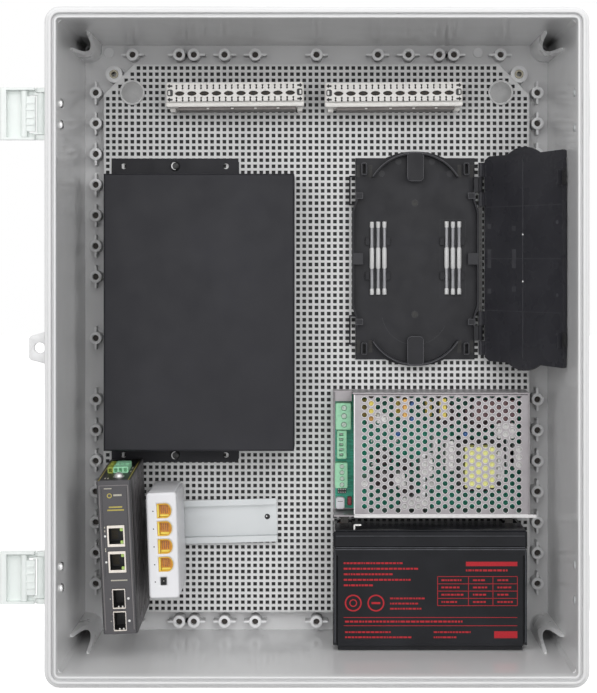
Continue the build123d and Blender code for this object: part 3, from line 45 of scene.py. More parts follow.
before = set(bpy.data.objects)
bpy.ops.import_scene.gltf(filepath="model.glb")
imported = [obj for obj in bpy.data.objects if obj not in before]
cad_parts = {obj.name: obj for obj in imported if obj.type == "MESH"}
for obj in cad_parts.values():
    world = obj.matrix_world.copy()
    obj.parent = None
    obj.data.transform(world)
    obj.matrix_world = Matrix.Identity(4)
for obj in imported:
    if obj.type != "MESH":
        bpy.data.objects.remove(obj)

MM = 0.001
ENCLOSURE = "enclosure"
PLATE_Y = -18.0
FLOOR_Y = -3.5
RIM_Y = -170.0
RIM_BACK_Y = -158.0
RIM_WIDTH, RIM_HEIGHT = 400, 500
WALL_SLOPE = 0.00785
WALL_HOLE = (184.5, 234.5)
INSERT_POST = (165, 215)
PLATE_FIXING = (150, 200)


# Mesh building, in millimetres


def box_mesh(x, y, z, soft=0.0, segments=2):
    """A block from its spans along X, Y and Z, with softened edges."""
    form = bmesh.new()
    size = [abs(b - a) for a, b in (x, y, z)]
    centre = [(a + b) / 2 for a, b in (x, y, z)]
    place = Matrix.Translation(centre) @ Matrix.Diagonal((*size, 1))
    bmesh.ops.create_cube(form, size=1, matrix=place)
    if soft:
        soft = min(soft, min(size) * 0.45)
        bmesh.ops.bevel(form, geom=form.edges[:], offset=soft, segments=segments, affect="EDGES")
    return as_mesh(form)


def as_mesh(form):
    """Turns a bmesh with outward normals into a mesh."""
    bmesh.ops.recalc_face_normals(form, faces=form.faces[:])
    mesh = bpy.data.meshes.new("part")
    form.to_mesh(mesh)
    form.free()
    return mesh


def turned_mesh(profile, segments=24):
    """A turned form about the Y axis, from (radius, y) pairs."""
    form = bmesh.new()
    rings = []
    for radius, y in profile:
        if radius < 1e-6:
            rings.append([form.verts.new((0, y, 0))])
        else:
            turns = [2 * pi * n / segments for n in range(segments)]
            rings.append([form.verts.new((radius * cos(a), y, radius * sin(a))) for a in turns])
    for low, high in zip(rings, rings[1:]):
        for n in range(segments):
            m = (n + 1) % segments
            corners = [low[n % len(low)], low[m % len(low)], high[m % len(high)], high[n % len(high)]]
            form.faces.new(list(dict.fromkeys(corners)))
    for ring in (rings[0], rings[-1]):
        if len(ring) > 1 and profile[0] != profile[-1]:
            form.faces.new(ring)
    if profile[0] == profile[-1]:
        bmesh.ops.remove_doubles(form, verts=form.verts[:], dist=1e-6)
    return as_mesh(form)


def turned_placed(profile, at, segments=20):
    """A turned form, moved to its place."""
    mesh = turned_mesh(profile, segments)
    mesh.transform(Matrix.Translation(at))
    return mesh


def sheet_mesh(outline, holes, y_front, thickness, soft=0.0):
    """A flat sheet in the X-Z plane with holes, given by loops of (x, z)."""
    curve = bpy.data.curves.new("sheet", "CURVE")
    curve.dimensions = "2D"
    curve.fill_mode = "BOTH"
    for loop in [outline] + list(holes):
        spline = curve.splines.new("POLY")
        spline.points.add(len(loop) - 1)
        for point, (x, z) in zip(spline.points, loop):
            point.co = (x, z, 0, 1)
        spline.use_cyclic_u = True
    curve.extrude = thickness / 2 - soft
    curve.bevel_depth = soft
    curve.bevel_resolution = 1
    curve.offset = -soft
    holder = bpy.data.objects.new("sheet", curve)
    mesh = bpy.data.meshes.new_from_object(holder)
    bpy.data.objects.remove(holder)
    bpy.data.curves.remove(curve)
    mesh.transform(Matrix.Rotation(radians(90), 4, "X"))
    mesh.transform(Matrix.Translation((0, y_front + thickness / 2, 0)))
    return mesh


def carved_mesh(mesh, cutter):
    """A mesh with another one cut out of it."""
    solid = bpy.data.objects.new("solid", mesh)
    tool = bpy.data.objects.new("tool", cutter)
    for item in (solid, tool):
        bpy.context.scene.collection.objects.link(item)
    step = solid.modifiers.new("cut", "BOOLEAN")
    step.operation = "DIFFERENCE"
    step.object = tool
    step.solver = "EXACT"
    graph = bpy.context.evaluated_depsgraph_get()
    carved = bpy.data.meshes.new_from_object(solid.evaluated_get(graph))
    bpy.data.objects.remove(solid)
    bpy.data.objects.remove(tool)
    return carved


def circle(x, z, radius, sides=20):
    """A round loop."""
    return [(x + radius * cos(2 * pi * n / sides), z + radius * sin(2 * pi * n / sides))
            for n in range(sides)]


def rounded(x, z, width, height, radius, steps=4):
    """A rectangular loop with rounded corners, about its centre."""
    radius = min(radius, width / 2 - 1e-4, height / 2 - 1e-4)
    loop = []
    for quarter, (sx, sz) in enumerate(((1, 1), (-1, 1), (-1, -1), (1, -1))):
        cx, cz = x + sx * (width / 2 - radius), z + sz * (height / 2 - radius)
        for step in range(steps + 1):
            angle = (quarter + step / steps) * pi / 2
            loop.append((cx + radius * cos(angle), cz + radius * sin(angle)))
    return loop


def about(middle, half):
    """A span from its middle and its half width."""
    return (middle - half, middle + half)


def four_corners(x, z):
    """One place in each quarter, from the distances to the middle."""
    return [(sx * x, sz * z) for sx in (-1, 1) for sz in (-1, 1)]


def turn_place(x, y, z, rx=0.0, ry=0.0, rz=0.0):
    """A place with turns in degrees about X, then Y, then Z, each in the turned frame."""
    spin = (Matrix.Rotation(radians(rx), 4, "X") @ Matrix.Rotation(radians(ry), 4, "Y")
            @ Matrix.Rotation(radians(rz), 4, "Z"))
    return Matrix.Translation((x, y, z)) @ spin


class Piece:
    """Gathers parts in millimetres, each with its surface, into one object."""

    def __init__(self, place=None):
        self.form = bmesh.new()
        self.finishes = []
        self.place = place or Matrix.Identity(4)

    def add(self, mesh, finish, at=None, keep=False):
        """Adds a mesh with a named surface, moved by a matrix or an (x, y, z)."""
        if finish not in self.finishes:
            self.finishes.append(finish)
        part = mesh.copy() if keep else mesh
        if at is not None:
            part.transform(at if isinstance(at, Matrix) else Matrix.Translation(at))
        index = self.finishes.index(finish)
        part.polygons.foreach_set("material_index", [index] * len(part.polygons))
        self.form.from_mesh(part)
        bpy.data.meshes.remove(part)

    def box(self, x, y, z, finish, soft=0.0, segments=2):
        """Adds a block."""
        self.add(box_mesh(x, y, z, soft, segments), finish)

    def done(self, name, slot, body=ENCLOSURE, replaces=(), angle=35):
        """Makes the object, in metres, and lets it ride on its body."""
        mesh = bpy.data.meshes.new(name)
        self.form.to_mesh(mesh)
        self.form.free()
        mesh.transform(Matrix.Scale(MM, 4) @ self.place)
        for finish in self.finishes:
            mesh.materials.append(finishes[finish])
        mesh.shade_smooth()
        mesh.set_sharp_from_angle(angle=radians(angle))
        item = bpy.data.objects.new(name, mesh)
        bpy.context.scene.collection.objects.link(item)
        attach(item, body)
        if replaces:
            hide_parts(*replaces)


# Surfaces


class Finish:
    """A procedural surface that is built up layer by layer; lengths are in millimetres."""

    def __init__(self, name, colour, roughness, metallic=0.0, **constants):
        self.material = bpy.data.materials.new(name)
        self.material.use_nodes = True
        self.tree = self.material.node_tree
        self.tree.nodes.clear()
        self.shader = self.node("ShaderNodeBsdfPrincipled")
        output = self.node("ShaderNodeOutputMaterial")
        self.link(self.shader.outputs[0], output.inputs[0])
        self.base = (*colour, 1.0)
        self.shader.inputs["Base Color"].default_value = self.base
        self.shader.inputs["Roughness"].default_value = roughness
        self.shader.inputs["Metallic"].default_value = metallic
        for key, value in constants.items():
            self.shader.inputs[key.replace("_", " ")].default_value = value
        place = self.node("ShaderNodeTexCoord")
        scale = self.node("ShaderNodeMapping")
        scale.inputs["Scale"].default_value = (1000, 1000, 1000)
        self.link(place.outputs["Object"], scale.inputs["Vector"])
        self.where = scale.outputs[0]
        self.colour = None
        self.normal = None

    def node(self, kind, **settings):
        made = self.tree.nodes.new(kind)
        for key, value in settings.items():
            setattr(made, key, value)
        return made

    def link(self, source, target):
        self.tree.links.new(source, target)

    def stretched(self, stretch):
        """Coordinates in millimetres, divided by a length along each axis."""
        scale = self.node("ShaderNodeMapping")
        scale.inputs["Scale"].default_value = [1 / length for length in stretch]
        self.link(self.where, scale.inputs["Vector"])
        return scale.outputs[0]

    def noise(self, size, detail=3.0, stretch=None):
        """Noise with features of about the given size."""
        made = self.node("ShaderNodeTexNoise")
        made.inputs["Detail"].default_value = detail
        made.inputs["Scale"].default_value = 1.0
        self.link(self.stretched(stretch or (size, size, size)), made.inputs["Vector"])
        return made.outputs[0]

    def ramp(self, value, low, high, to_low, to_high):
        made = self.node("ShaderNodeMapRange")
        self.link(value, made.inputs["Value"])
        for key, number in (("From Min", low), ("From Max", high), ("To Min", to_low), ("To Max", to_high)):
            made.inputs[key].default_value = number
        return made.outputs[0]

    def tint(self, share, colour):
        """Mixes a colour over what is there, by a share from 0 to 1."""
        mix = self.node("ShaderNodeMix", data_type="RGBA")
        self.link(share, mix.inputs[0])
        if self.colour is None:
            mix.inputs[6].default_value = self.base
        else:
            self.link(self.colour, mix.inputs[6])
        mix.inputs[7].default_value = (*colour, 1.0)
        self.colour = mix.outputs[2]
        return self

    def mottle(self, size, colour, amount, low=0.45, high=0.7, stretch=None):
        """Uneven patches of another colour."""
        return self.tint(self.ramp(self.noise(size, 4.0, stretch), low, high, 0.0, amount), colour)

    def patchy(self, size, low, high, stretch=None):
        """Roughness that varies over the surface."""
        self.link(self.ramp(self.noise(size, 3.0, stretch), 0.35, 0.65, low, high),
                  self.shader.inputs["Roughness"])
        return self

    def bump(self, height, depth, strength=1.0):
        made = self.node("ShaderNodeBump")
        made.inputs["Strength"].default_value = strength
        made.inputs["Distance"].default_value = depth * MM
        self.link(height, made.inputs["Height"])
        if self.normal is not None:
            self.link(self.normal, made.inputs["Normal"])
        self.normal = made.outputs[0]
        return self

    def grain(self, size, depth, detail=2.0, stretch=None):
        """Fine relief."""
        return self.bump(self.noise(size, detail, stretch), depth)

    def soft_edges(self, radius):
        """Edges that catch the light as if they were rounded."""
        made = self.node("ShaderNodeBevel", samples=4)
        made.inputs["Radius"].default_value = radius * MM
        self.normal = made.outputs[0]
        return self

    def done(self):
        if self.colour is not None:
            self.link(self.colour, self.shader.inputs["Base Color"])
        if self.normal is not None:
            self.link(self.normal, self.shader.inputs["Normal"])
        return self.material


def grey(level):
    """A neutral colour from its brightness."""
    return (level, level, level)


def shade(colour, factor):
    """A colour made lighter or darker."""
    return tuple(c * factor for c in colour)


finishes = {}


def make_finishes(sizes):
    """All surfaces, by a maker's plain names."""
    body = tuple(sizes.body_colour)
    plate = tuple(sizes.plate_colour)
    latch = tuple(sizes.latch_colour)
    paint = tuple(sizes.box_colour)
    made = {
        "body": Finish("body_moulding", body, 0.17).soft_edges(0.5)
        .mottle(90, shade(body, 0.97), 0.4).patchy(60, 0.15, 0.2).grain(0.5, 0.003),
        # Corner channels: a lighter copy of the body moulding, painted light.
        "channel_painted_light": Finish("channel_moulding_painted_light", shade(body, 1.1), 0.3).soft_edges(0.5)
        .mottle(30, body, 0.4).patchy(20, 0.26, 0.36).grain(0.5, 0.004),
        # Bosses, ribs and posts: a lighter copy of the body moulding, painted light.
        "body_painted_light": Finish("body_painted_light", shade(body, 1.18), 0.4)
        .mottle(14, shade(body, 1.08), 0.4).patchy(8, 0.36, 0.46).grain(0.5, 0.006),
        "plate": Finish("plate_coating", plate, 0.4)
        .mottle(40, shade(plate, 0.94), 0.6).patchy(20, 0.34, 0.48).grain(0.6, 0.01),
        # Near-black sheet behind the plate's holes: painted shade.
        "plate_painted_shade": Finish("plate_backing_painted_shade", (0.012, 0.012, 0.013), 0.6)
        .mottle(6, (0.02, 0.02, 0.02), 0.8).grain(1.0, 0.02),
        "fixing": Finish("fixing_cap", grey(0.46), 0.3)
        .mottle(5, grey(0.4), 0.6).patchy(6, 0.26, 0.36).grain(0.4, 0.006),
        # Pale rims of the fixing caps; also the painted highlight crescents on the box's flange screws.
        "pale_rim_and_painted_glint": Finish("pale_rim_and_painted_glint", grey(0.86), 0.28)
        .mottle(3, grey(0.62), 0.6).patchy(4, 0.24, 0.34).grain(0.4, 0.006),
        "brass": Finish("turned_insert", (0.3, 0.28, 0.22), 0.42, 0.9)
        .mottle(2, (0.2, 0.18, 0.14), 0.7).grain(0.3, 0.01),
        # Bottom of each boss's bore: painted shade.
        "bore_painted_shade": Finish("boss_bore_painted_shade", (0.06, 0.05, 0.042), 0.6)
        .mottle(1.5, (0.03, 0.024, 0.02), 0.8).grain(0.4, 0.02),
        "latch": Finish("latch_moulding", latch, 0.38).soft_edges(0.35)
        .mottle(12, shade(latch, 0.95), 0.6).patchy(10, 0.3, 0.45).grain(0.45, 0.01),
        "bright": Finish("bright_zinc", grey(0.78), 0.22, 1.0)
        .mottle(1.5, grey(0.55), 0.5).patchy(1.2, 0.16, 0.34).grain(0.25, 0.004),
        "pin": Finish("turned_steel", grey(0.55), 0.3, 1.0)
        .mottle(2, grey(0.4), 0.6).grain(0.3, 0.006, 2.0, (3, 3, 0.2)),
        "strip": Finish("strip_moulding", (0.96, 0.94, 0.91), 0.45)
        .mottle(5, (0.84, 0.81, 0.77), 0.4).patchy(4, 0.4, 0.55).grain(0.35, 0.008),
        # Underside of the strip frames: a darker copy of the frame metal, painted shade.
        "painted_shade_apron": Finish("strip_apron_painted_shade", (0.19, 0.172, 0.166), 0.45, 0.4)
        .mottle(14, (0.14, 0.126, 0.12), 0.7).patchy(8, 0.38, 0.52).grain(0.4, 0.008),
        "strip_metal": Finish("strip_frame", (0.54, 0.52, 0.5), 0.42, 0.6)
        .mottle(7, (0.28, 0.26, 0.24), 0.7).patchy(5, 0.32, 0.55, (30, 4, 0.6)).grain(0.4, 0.01),
        "contact": Finish("contact_metal", (0.05, 0.038, 0.028), 0.5, 0.5)
        .mottle(1.2, (0.02, 0.016, 0.012), 0.9).grain(0.3, 0.02),
        # Near-black: joints and marks, and also painted shade in holes, openings and behind the strip slots.
        "dark": Finish("dark_mark_and_painted_shade", (0.012, 0.011, 0.011), 0.55)
        .mottle(2, (0.03, 0.028, 0.026), 0.8).grain(0.3, 0.01),
        "box": Finish("box_paint", paint, 0.46, 0.0, Specular_IOR_Level=0.2).soft_edges(0.4)
        .mottle(45, shade(paint, 1.3), 0.6).patchy(20, 0.4, 0.52)
        .grain(0.7, 0.03).grain(0.25, 0.012),
        "tray": Finish("tray_moulding", (0.021, 0.021, 0.0245), 0.42, 0.0, Specular_IOR_Level=0.2)
        .soft_edges(0.3).mottle(22, (0.028, 0.028, 0.033), 0.7).patchy(12, 0.34, 0.48).grain(0.4, 0.008),
        # Lighter copy of the tray moulding for its rib and finger edges: painted highlight.
        "tray_painted_highlight": Finish("tray_painted_highlight", (0.085, 0.085, 0.095), 0.35, 0.0, Specular_IOR_Level=0.3)
        .mottle(5, (0.05, 0.05, 0.058), 0.7).grain(0.4, 0.008),
        "tray_faint": Finish("tray_faint", (0.033, 0.033, 0.038), 0.36, 0.0, Specular_IOR_Level=0.25)
        .mottle(5, (0.028, 0.028, 0.032), 0.7).grain(0.4, 0.008),
        "lid": Finish("lid_moulding", (0.034, 0.034, 0.04), 0.28, 0.0, Specular_IOR_Level=0.25)
        .soft_edges(0.3).mottle(26, (0.044, 0.044, 0.051), 0.8).patchy(15, 0.2, 0.36).grain(0.5, 0.004),
        "lid_line": Finish("lid_line", (0.075, 0.075, 0.085), 0.3)
        .mottle(6, (0.04, 0.04, 0.047), 0.8).grain(0.4, 0.006),
        "lid_faint": Finish("lid_faint", (0.064, 0.064, 0.072), 0.32)
        .mottle(6, (0.046, 0.046, 0.053), 0.8).grain(0.4, 0.006),
        "sleeve": Finish("sleeve_white", grey(0.68), 0.3, 0.0, Coat_Weight=0.2)
        .mottle(2, grey(0.7), 0.5).grain(0.8, 0.02),
        "sleeve_clear": Finish("sleeve_middle", (0.27, 0.27, 0.29), 0.18, 0.0, Coat_Weight=0.5)
        .mottle(1.6, (0.42, 0.42, 0.44), 0.8, 0.4, 0.6, (0.5, 0.5, 12)).grain(0.7, 0.02),
        "zinc": Finish("supply_sheet", (0.33, 0.31, 0.322), 0.4, 0.6)
        .mottle(9, (0.3, 0.28, 0.292), 0.6).patchy(7, 0.34, 0.44).grain(0.5, 0.004),
        # Lighter copy of the supply's sheet for vent rims, edges and ledge: painted highlight.
        "zinc_painted_highlight": Finish("supply_painted_highlight", (0.74, 0.73, 0.73), 0.32, 0.6)
        .mottle(4, (0.62, 0.6, 0.61), 0.6).grain(0.4, 0.004),
        "board": Finish("board_lacquer", (0.012, 0.32, 0.2), 0.3)
        .mottle(1.6, (0.03, 0.5, 0.34), 0.9, 0.5, 0.55, (6, 6, 0.9))
        .mottle(1.1, (0.02, 0.42, 0.27), 0.9, 0.52, 0.57, (0.8, 6, 5)).grain(0.6, 0.03),
        "screw_pale": Finish("clamp_screw", (0.5, 0.58, 0.52), 0.45, 0.3)
        .mottle(1.2, (0.4, 0.48, 0.42), 0.6).grain(0.3, 0.01),
        "terminal": Finish("terminal_green", (0.38, 0.77, 0.5), 0.36)
        .mottle(3, (0.27, 0.58, 0.36), 0.6).patchy(3, 0.3, 0.45).grain(0.3, 0.01),
        "olive": Finish("terminal_olive", (0.36, 0.42, 0.07), 0.4)
        .mottle(3, (0.28, 0.33, 0.05), 0.6).grain(0.3, 0.01),
        "black": Finish("black_moulding", (0.02, 0.02, 0.021), 0.4)
        .mottle(3, (0.035, 0.035, 0.036), 0.7).grain(0.35, 0.01),
        "relay": Finish("relay_white", (0.75, 0.75, 0.78), 0.35)
        .mottle(3, (0.65, 0.65, 0.69), 0.6).grain(0.4, 0.01),
        "fuse": Finish("fuse_red", (0.32, 0.03, 0.05), 0.35)
        .mottle(2, (0.2, 0.02, 0.03), 0.6).grain(0.4, 0.01),
        "tape": Finish("winding_tape", (0.95, 0.94, 0.34), 0.32)
        .mottle(3, (0.9, 0.86, 0.26), 0.5, 0.45, 0.6, (20, 20, 1.2)).grain(0.5, 0.02),
        "ferrite": Finish("ferrite_core", (0.03, 0.028, 0.028), 0.4)
        .mottle(2, (0.06, 0.055, 0.055), 0.8).grain(0.4, 0.02),
        "fin": Finish("heat_sink", (0.7, 0.7, 0.71), 0.35, 1.0)
        .mottle(4, (0.55, 0.55, 0.56), 0.7).grain(0.4, 0.006, 2.0, (6, 6, 0.2)),
        "can": Finish("can_sleeve", (0.035, 0.02, 0.022), 0.3, 0.0, Coat_Weight=0.3)
        .mottle(4, (0.07, 0.035, 0.04), 0.7).grain(0.6, 0.01),
        "can_top": Finish("can_top", (0.5, 0.48, 0.49), 0.42, 0.7)
        .mottle(2, (0.36, 0.34, 0.35), 0.6).grain(0.3, 0.006),
        "film": Finish("film_capacitor", (0.85, 0.7, 0.12), 0.28)
        .mottle(3, (0.85, 0.5, 0.14), 0.8).grain(0.5, 0.02),
        "orange": Finish("orange_part", (0.85, 0.4, 0.08), 0.3)
        .mottle(3, (0.8, 0.56, 0.16), 0.8).grain(0.5, 0.02),
        "choke": Finish("choke_varnish", (0.2, 0.1, 0.12), 0.35)
        .mottle(3, (0.34, 0.16, 0.12), 0.8).grain(0.6, 0.04),
        "blue": Finish("blue_part", (0.06, 0.2, 0.6), 0.3)
        .mottle(2, (0.1, 0.34, 0.78), 0.7).grain(0.4, 0.02),
        "copper": Finish("copper_winding", (0.45, 0.2, 0.1), 0.35, 0.8)
        .mottle(1, (0.25, 0.1, 0.05), 0.8, 0.45, 0.55, (6, 6, 0.35)).grain(0.35, 0.05),
        "glue": Finish("white_glue", (0.88, 0.87, 0.85), 0.4)
        .mottle(2, (0.72, 0.72, 0.7), 0.7).grain(1.2, 0.1),
        "battery": Finish("battery_case", (0.0065, 0.007, 0.0095), 0.16, 0.0, Specular_IOR_Level=0.2)
        .mottle(40, (0.014, 0.015, 0.019), 0.7).patchy(18, 0.1, 0.2).grain(0.6, 0.004)
        .grain(30, 0.04, 1.0),
        # Lighter copy of the battery case for its edge lines: painted highlight.
        "battery_painted_highlight": Finish("battery_painted_highlight", (0.06, 0.063, 0.075), 0.25)
        .mottle(9, (0.025, 0.027, 0.033), 0.8).grain(0.5, 0.006),
        "print": Finish("red_print", (0.46, 0.016, 0.026), 0.5, 0.0, Specular_IOR_Level=0.25)
        .mottle(1.2, (0.34, 0.014, 0.02), 0.6).grain(0.4, 0.004),
        "pale_print": Finish("pale_print", (0.55, 0.52, 0.44), 0.5)
        .mottle(0.8, (0.34, 0.31, 0.24), 0.7).grain(0.3, 0.004),
        "gold_print": Finish("gold_print", (0.5, 0.42, 0.1), 0.45)
        .mottle(0.8, (0.34, 0.27, 0.06), 0.7).grain(0.3, 0.004),
        "tab": Finish("tinned_tab", (0.7, 0.7, 0.68), 0.34, 0.7)
        .mottle(2, (0.52, 0.51, 0.5), 0.6).grain(0.4, 0.01),
        "dull_tab": Finish("dull_tab", (0.12, 0.115, 0.11), 0.5, 0.6)
        .mottle(2, (0.06, 0.055, 0.05), 0.7).grain(0.4, 0.02),
        "rail": Finish("rail_zinc", (0.6, 0.62, 0.63), 0.4, 0.5).soft_edges(0.3)
        .mottle(30, (0.54, 0.56, 0.57), 0.5).patchy(20, 0.34, 0.44).grain(0.4, 0.006),
        "switch": Finish("switch_paint", (0.095, 0.092, 0.098), 0.44, 0.1, Specular_IOR_Level=0.3)
        .soft_edges(0.35).mottle(18, (0.11, 0.106, 0.112), 0.7).patchy(9, 0.38, 0.52).grain(0.35, 0.01),
        # Lighter copy of the switch paint for its edge lines: painted highlight.
        "switch_painted_highlight": Finish("switch_painted_highlight", (0.21, 0.195, 0.195), 0.36, 0.2)
        .mottle(9, (0.16, 0.148, 0.15), 0.7).grain(0.35, 0.008),
        "switch_side": Finish("switch_side", (0.13, 0.122, 0.126), 0.4, 0.2).soft_edges(0.3)
        .mottle(18, (0.1, 0.094, 0.098), 0.7).patchy(9, 0.34, 0.5).grain(0.35, 0.008),
        "plated": Finish("plated_shell", (0.86, 0.8, 0.73), 0.34, 0.35)
        .mottle(1.5, (0.72, 0.66, 0.58), 0.5).grain(0.3, 0.006),
        "gilt": Finish("gilt_contacts", (0.09, 0.068, 0.03), 0.5, 0.6)
        .mottle(0.8, (0.06, 0.05, 0.03), 0.8).grain(0.3, 0.01),
        "led": Finish("lit_white", (0.9, 0.9, 0.88), 0.3).mottle(0.6, grey(0.75), 0.5).grain(0.3, 0.01),
        "led_green": Finish("jack_lamp", (0.4, 0.62, 0.14), 0.3)
        .mottle(0.6, (0.66, 0.68, 0.3), 0.8).grain(0.3, 0.01),
        "clip": Finish("clip_steel", grey(0.5), 0.35, 1.0)
        .mottle(4, grey(0.38), 0.6).grain(0.4, 0.008),
        "hub": Finish("hub_gloss", (0.84, 0.84, 0.86), 0.36, 0.0, Specular_IOR_Level=0.35).soft_edges(0.8)
        .mottle(30, (0.81, 0.81, 0.84), 0.5).patchy(12, 0.33, 0.4),
        "amber": Finish("jack_amber", (0.86, 0.5, 0.04), 0.28)
        .mottle(2, (0.88, 0.62, 0.06), 0.7).grain(0.5, 0.01),
        "yellow": Finish("jack_yellow", (0.88, 0.74, 0.12), 0.28)
        .mottle(2, (0.8, 0.68, 0.18), 0.6).grain(0.5, 0.01),
        "amber_deep": Finish("jack_depth", (0.82, 0.4, 0.05), 0.35)
        .mottle(0.9, (0.62, 0.2, 0.03), 0.7, 0.48, 0.6, (0.7, 6, 3.0)).grain(0.5, 0.01),
    }
    finishes.update({name: finish.done() for name, finish in made.items()})


def dress(node, finish):
    """Gives a CAD node a surface."""
    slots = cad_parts[node].data.materials
    slots.clear()
    slots.append(finishes[finish])


# Enclosure


def rim_loop(inset):
    """Rounded rectangle, moved in from the rim's outer edge."""
    radius = max(11.5 - inset, 2.2)
    return rounded(0, 0, RIM_WIDTH - 2 * inset, RIM_HEIGHT - 2 * inset, radius, 8)


def swept_rim(profile):
    """A closed profile of (inset, y) carried round the rim."""
    form = bmesh.new()
    loops = []
    for inset, y in profile:
        loops.append([form.verts.new((x, y, z)) for x, z in rim_loop(inset)])
    count = len(loops[0])
    for low, high in zip(loops, loops[1:] + loops[:1]):
        for n in range(count):
            m = (n + 1) % count
            form.faces.new((low[n], low[m], high[m], high[n]))
    return as_mesh(form)


def build_rim():
    """Rim with shoulder, rib, groove and lip, and the padlock lug on its left."""
    piece = Piece()
    inner = 8.75
    back_inner = inner + (RIM_BACK_Y - RIM_Y) * WALL_SLOPE
    profile = [
        (0.5, RIM_BACK_Y), (0.12, -158.4), (0, -159.2), (0, -165.6), (0.25, -166.6), (0.9, -167.3),
        (1.8, -167.55), (2.75, -167.6), (2.85, -167.8), (2.9, -169.4), (3.1, -169.85), (3.5, -170),
        (4.7, -170), (5.05, -169.85), (5.2, -169.5), (5.25, -166.1), (6.95, -166.1), (7.0, -168.6),
        (7.15, -168.95), (7.5, -169.05), (8.3, -169.05), (8.65, -168.9), (8.76, -168.4),
        (back_inner, RIM_BACK_Y),
    ]
    piece.add(swept_rim(profile), "body")
    lug_drop = -1.1
    lug = [(-190, 12.0), (-200, 12.0), (-210.2, 9.2), (-211.7, 8.5), (-212.5, 7.0), (-212.6, -7.0),
           (-211.9, -8.4), (-210.2, -9.2), (-200, -12.0), (-190, -12.0)]
    hole = circle(-204.8, 0, 4.0, 28)
    lug_sheet = sheet_mesh(lug, [hole], RIM_BACK_Y, 5.0, 0.5)
    cut = box_mesh((-193.8, -180), (-160, -150), (-20, 20))
    piece.add(carved_mesh(lug_sheet, cut), "body", (0, 0, lug_drop))
    piece.done("rim_moulding", "enclosure_body", replaces=("enclosure_rim",), angle=30)


def boss_places():
    """Where the small screw bosses stand, as (x, z, ribs upright)."""
    side_x, end_z, pitch = 180.0, 231.0, 25.0
    places = []
    for side in (-1, 1):
        for n in [0] + [s * k for k in range(2, 9) for s in (-1, 1)]:
            places.append((side * side_x, pitch * n, True))
        for x in [0] + [s * k for k in (50, 75, 100, 112, 150) for s in (-1, 1)]:
            places.append((x, side * end_z, False))
    return places


def build_bosses():
    """Small screw bosses with their ribs, and two ejector discs, in a lighter copy of the body moulding that
    is painted light.
    """
    piece = Piece()
    bore_y = PLATE_Y + 4.4
    profile = [(5.25, FLOOR_Y), (5.0, PLATE_Y + 0.7), (4.9, PLATE_Y + 0.2), (4.6, PLATE_Y), (2.9, PLATE_Y),
               (2.55, PLATE_Y + 0.4), (2.5, bore_y)]
    boss = turned_mesh(profile + [(0, bore_y)], 28)
    # A disc of painted shade lies at the bottom of each bore.
    depth = turned_mesh([(2.45, PLATE_Y + 4.3), (2.4, PLATE_Y + 4.1), (0, PLATE_Y + 4.15)], 28)
    rib = box_mesh((-9.3, 9.3), (FLOOR_Y, PLATE_Y + 0.8), (-0.8, 0.8), 0.35)
    core = box_mesh((-4.9, 4.9), (FLOOR_Y, PLATE_Y - 1), (-3, 3))
    rib = carved_mesh(rib, core)
    upright = Matrix.Rotation(radians(90), 4, "Y")
    for x, z, stands in boss_places():
        at = Matrix.Translation((x, 0, z))
        piece.add(boss, "body_painted_light", at, keep=True)
        piece.add(depth, "bore_painted_shade", at, keep=True)
        piece.add(rib, "body_painted_light", at @ upright if stands else at, keep=True)
    disc = turned_mesh([(4.1, FLOOR_Y), (4.0, FLOOR_Y - 0.8), (3.8, FLOOR_Y - 1), (0, FLOOR_Y - 1)], 28)
    for x in (-170.5, 132.8):
        piece.add(disc, "body_painted_light", (x, 0, 234.0), keep=True)
    piece.done("screw_bosses", "enclosure_body", replaces=("base_bosses",))


def build_hole_shade_discs():
    """Near-black discs of painted shade in the four wall-fixing holes, at the back wall."""
    piece = Piece()
    shade_disc = turned_mesh([(0, -1.1), (3.0, -1.15), (3.5, -1.6), (4.15, -1.6), (4.2, -0.4), (0, -0.3)], 28)
    for x, z in four_corners(*WALL_HOLE):
        piece.add(shade_disc, "dark", (x, 0, z), keep=True)
    piece.done("wall_hole_shade_discs", "enclosure_body")


def build_posts():
    """Insert posts and the seats under the plate, in a lighter copy of the body moulding that is painted
    light.
    """
    piece = Piece()
    bore_y = PLATE_Y + 10
    seat_y, seat_bore_y = -15.5, -7.6
    post = turned_mesh([(7.3, FLOOR_Y), (7.0, PLATE_Y + 1), (6.9, PLATE_Y + 0.2), (6.6, PLATE_Y),
                        (4.0, PLATE_Y), (3.65, PLATE_Y + 0.35), (3.6, bore_y), (0, bore_y)], 36)
    seat = turned_mesh([(8.4, FLOOR_Y), (8.0, -15.1), (7.7, seat_y), (4.2, seat_y), (3.95, -15.2),
                        (3.95, seat_bore_y), (0, seat_bore_y)], 28)
    for (post_x, post_z), (seat_x, seat_z) in zip(four_corners(*INSERT_POST), four_corners(*PLATE_FIXING)):
        piece.add(post, "body_painted_light", (post_x, 0, post_z), keep=True)
        piece.add(seat, "body_painted_light", (seat_x, 0, seat_z), keep=True)
    piece.done("insert_posts", "enclosure_body", replaces=("base_posts",))


PLATE_EDGE = (173.5, 223.0)
PLATE_CUT = 25.0


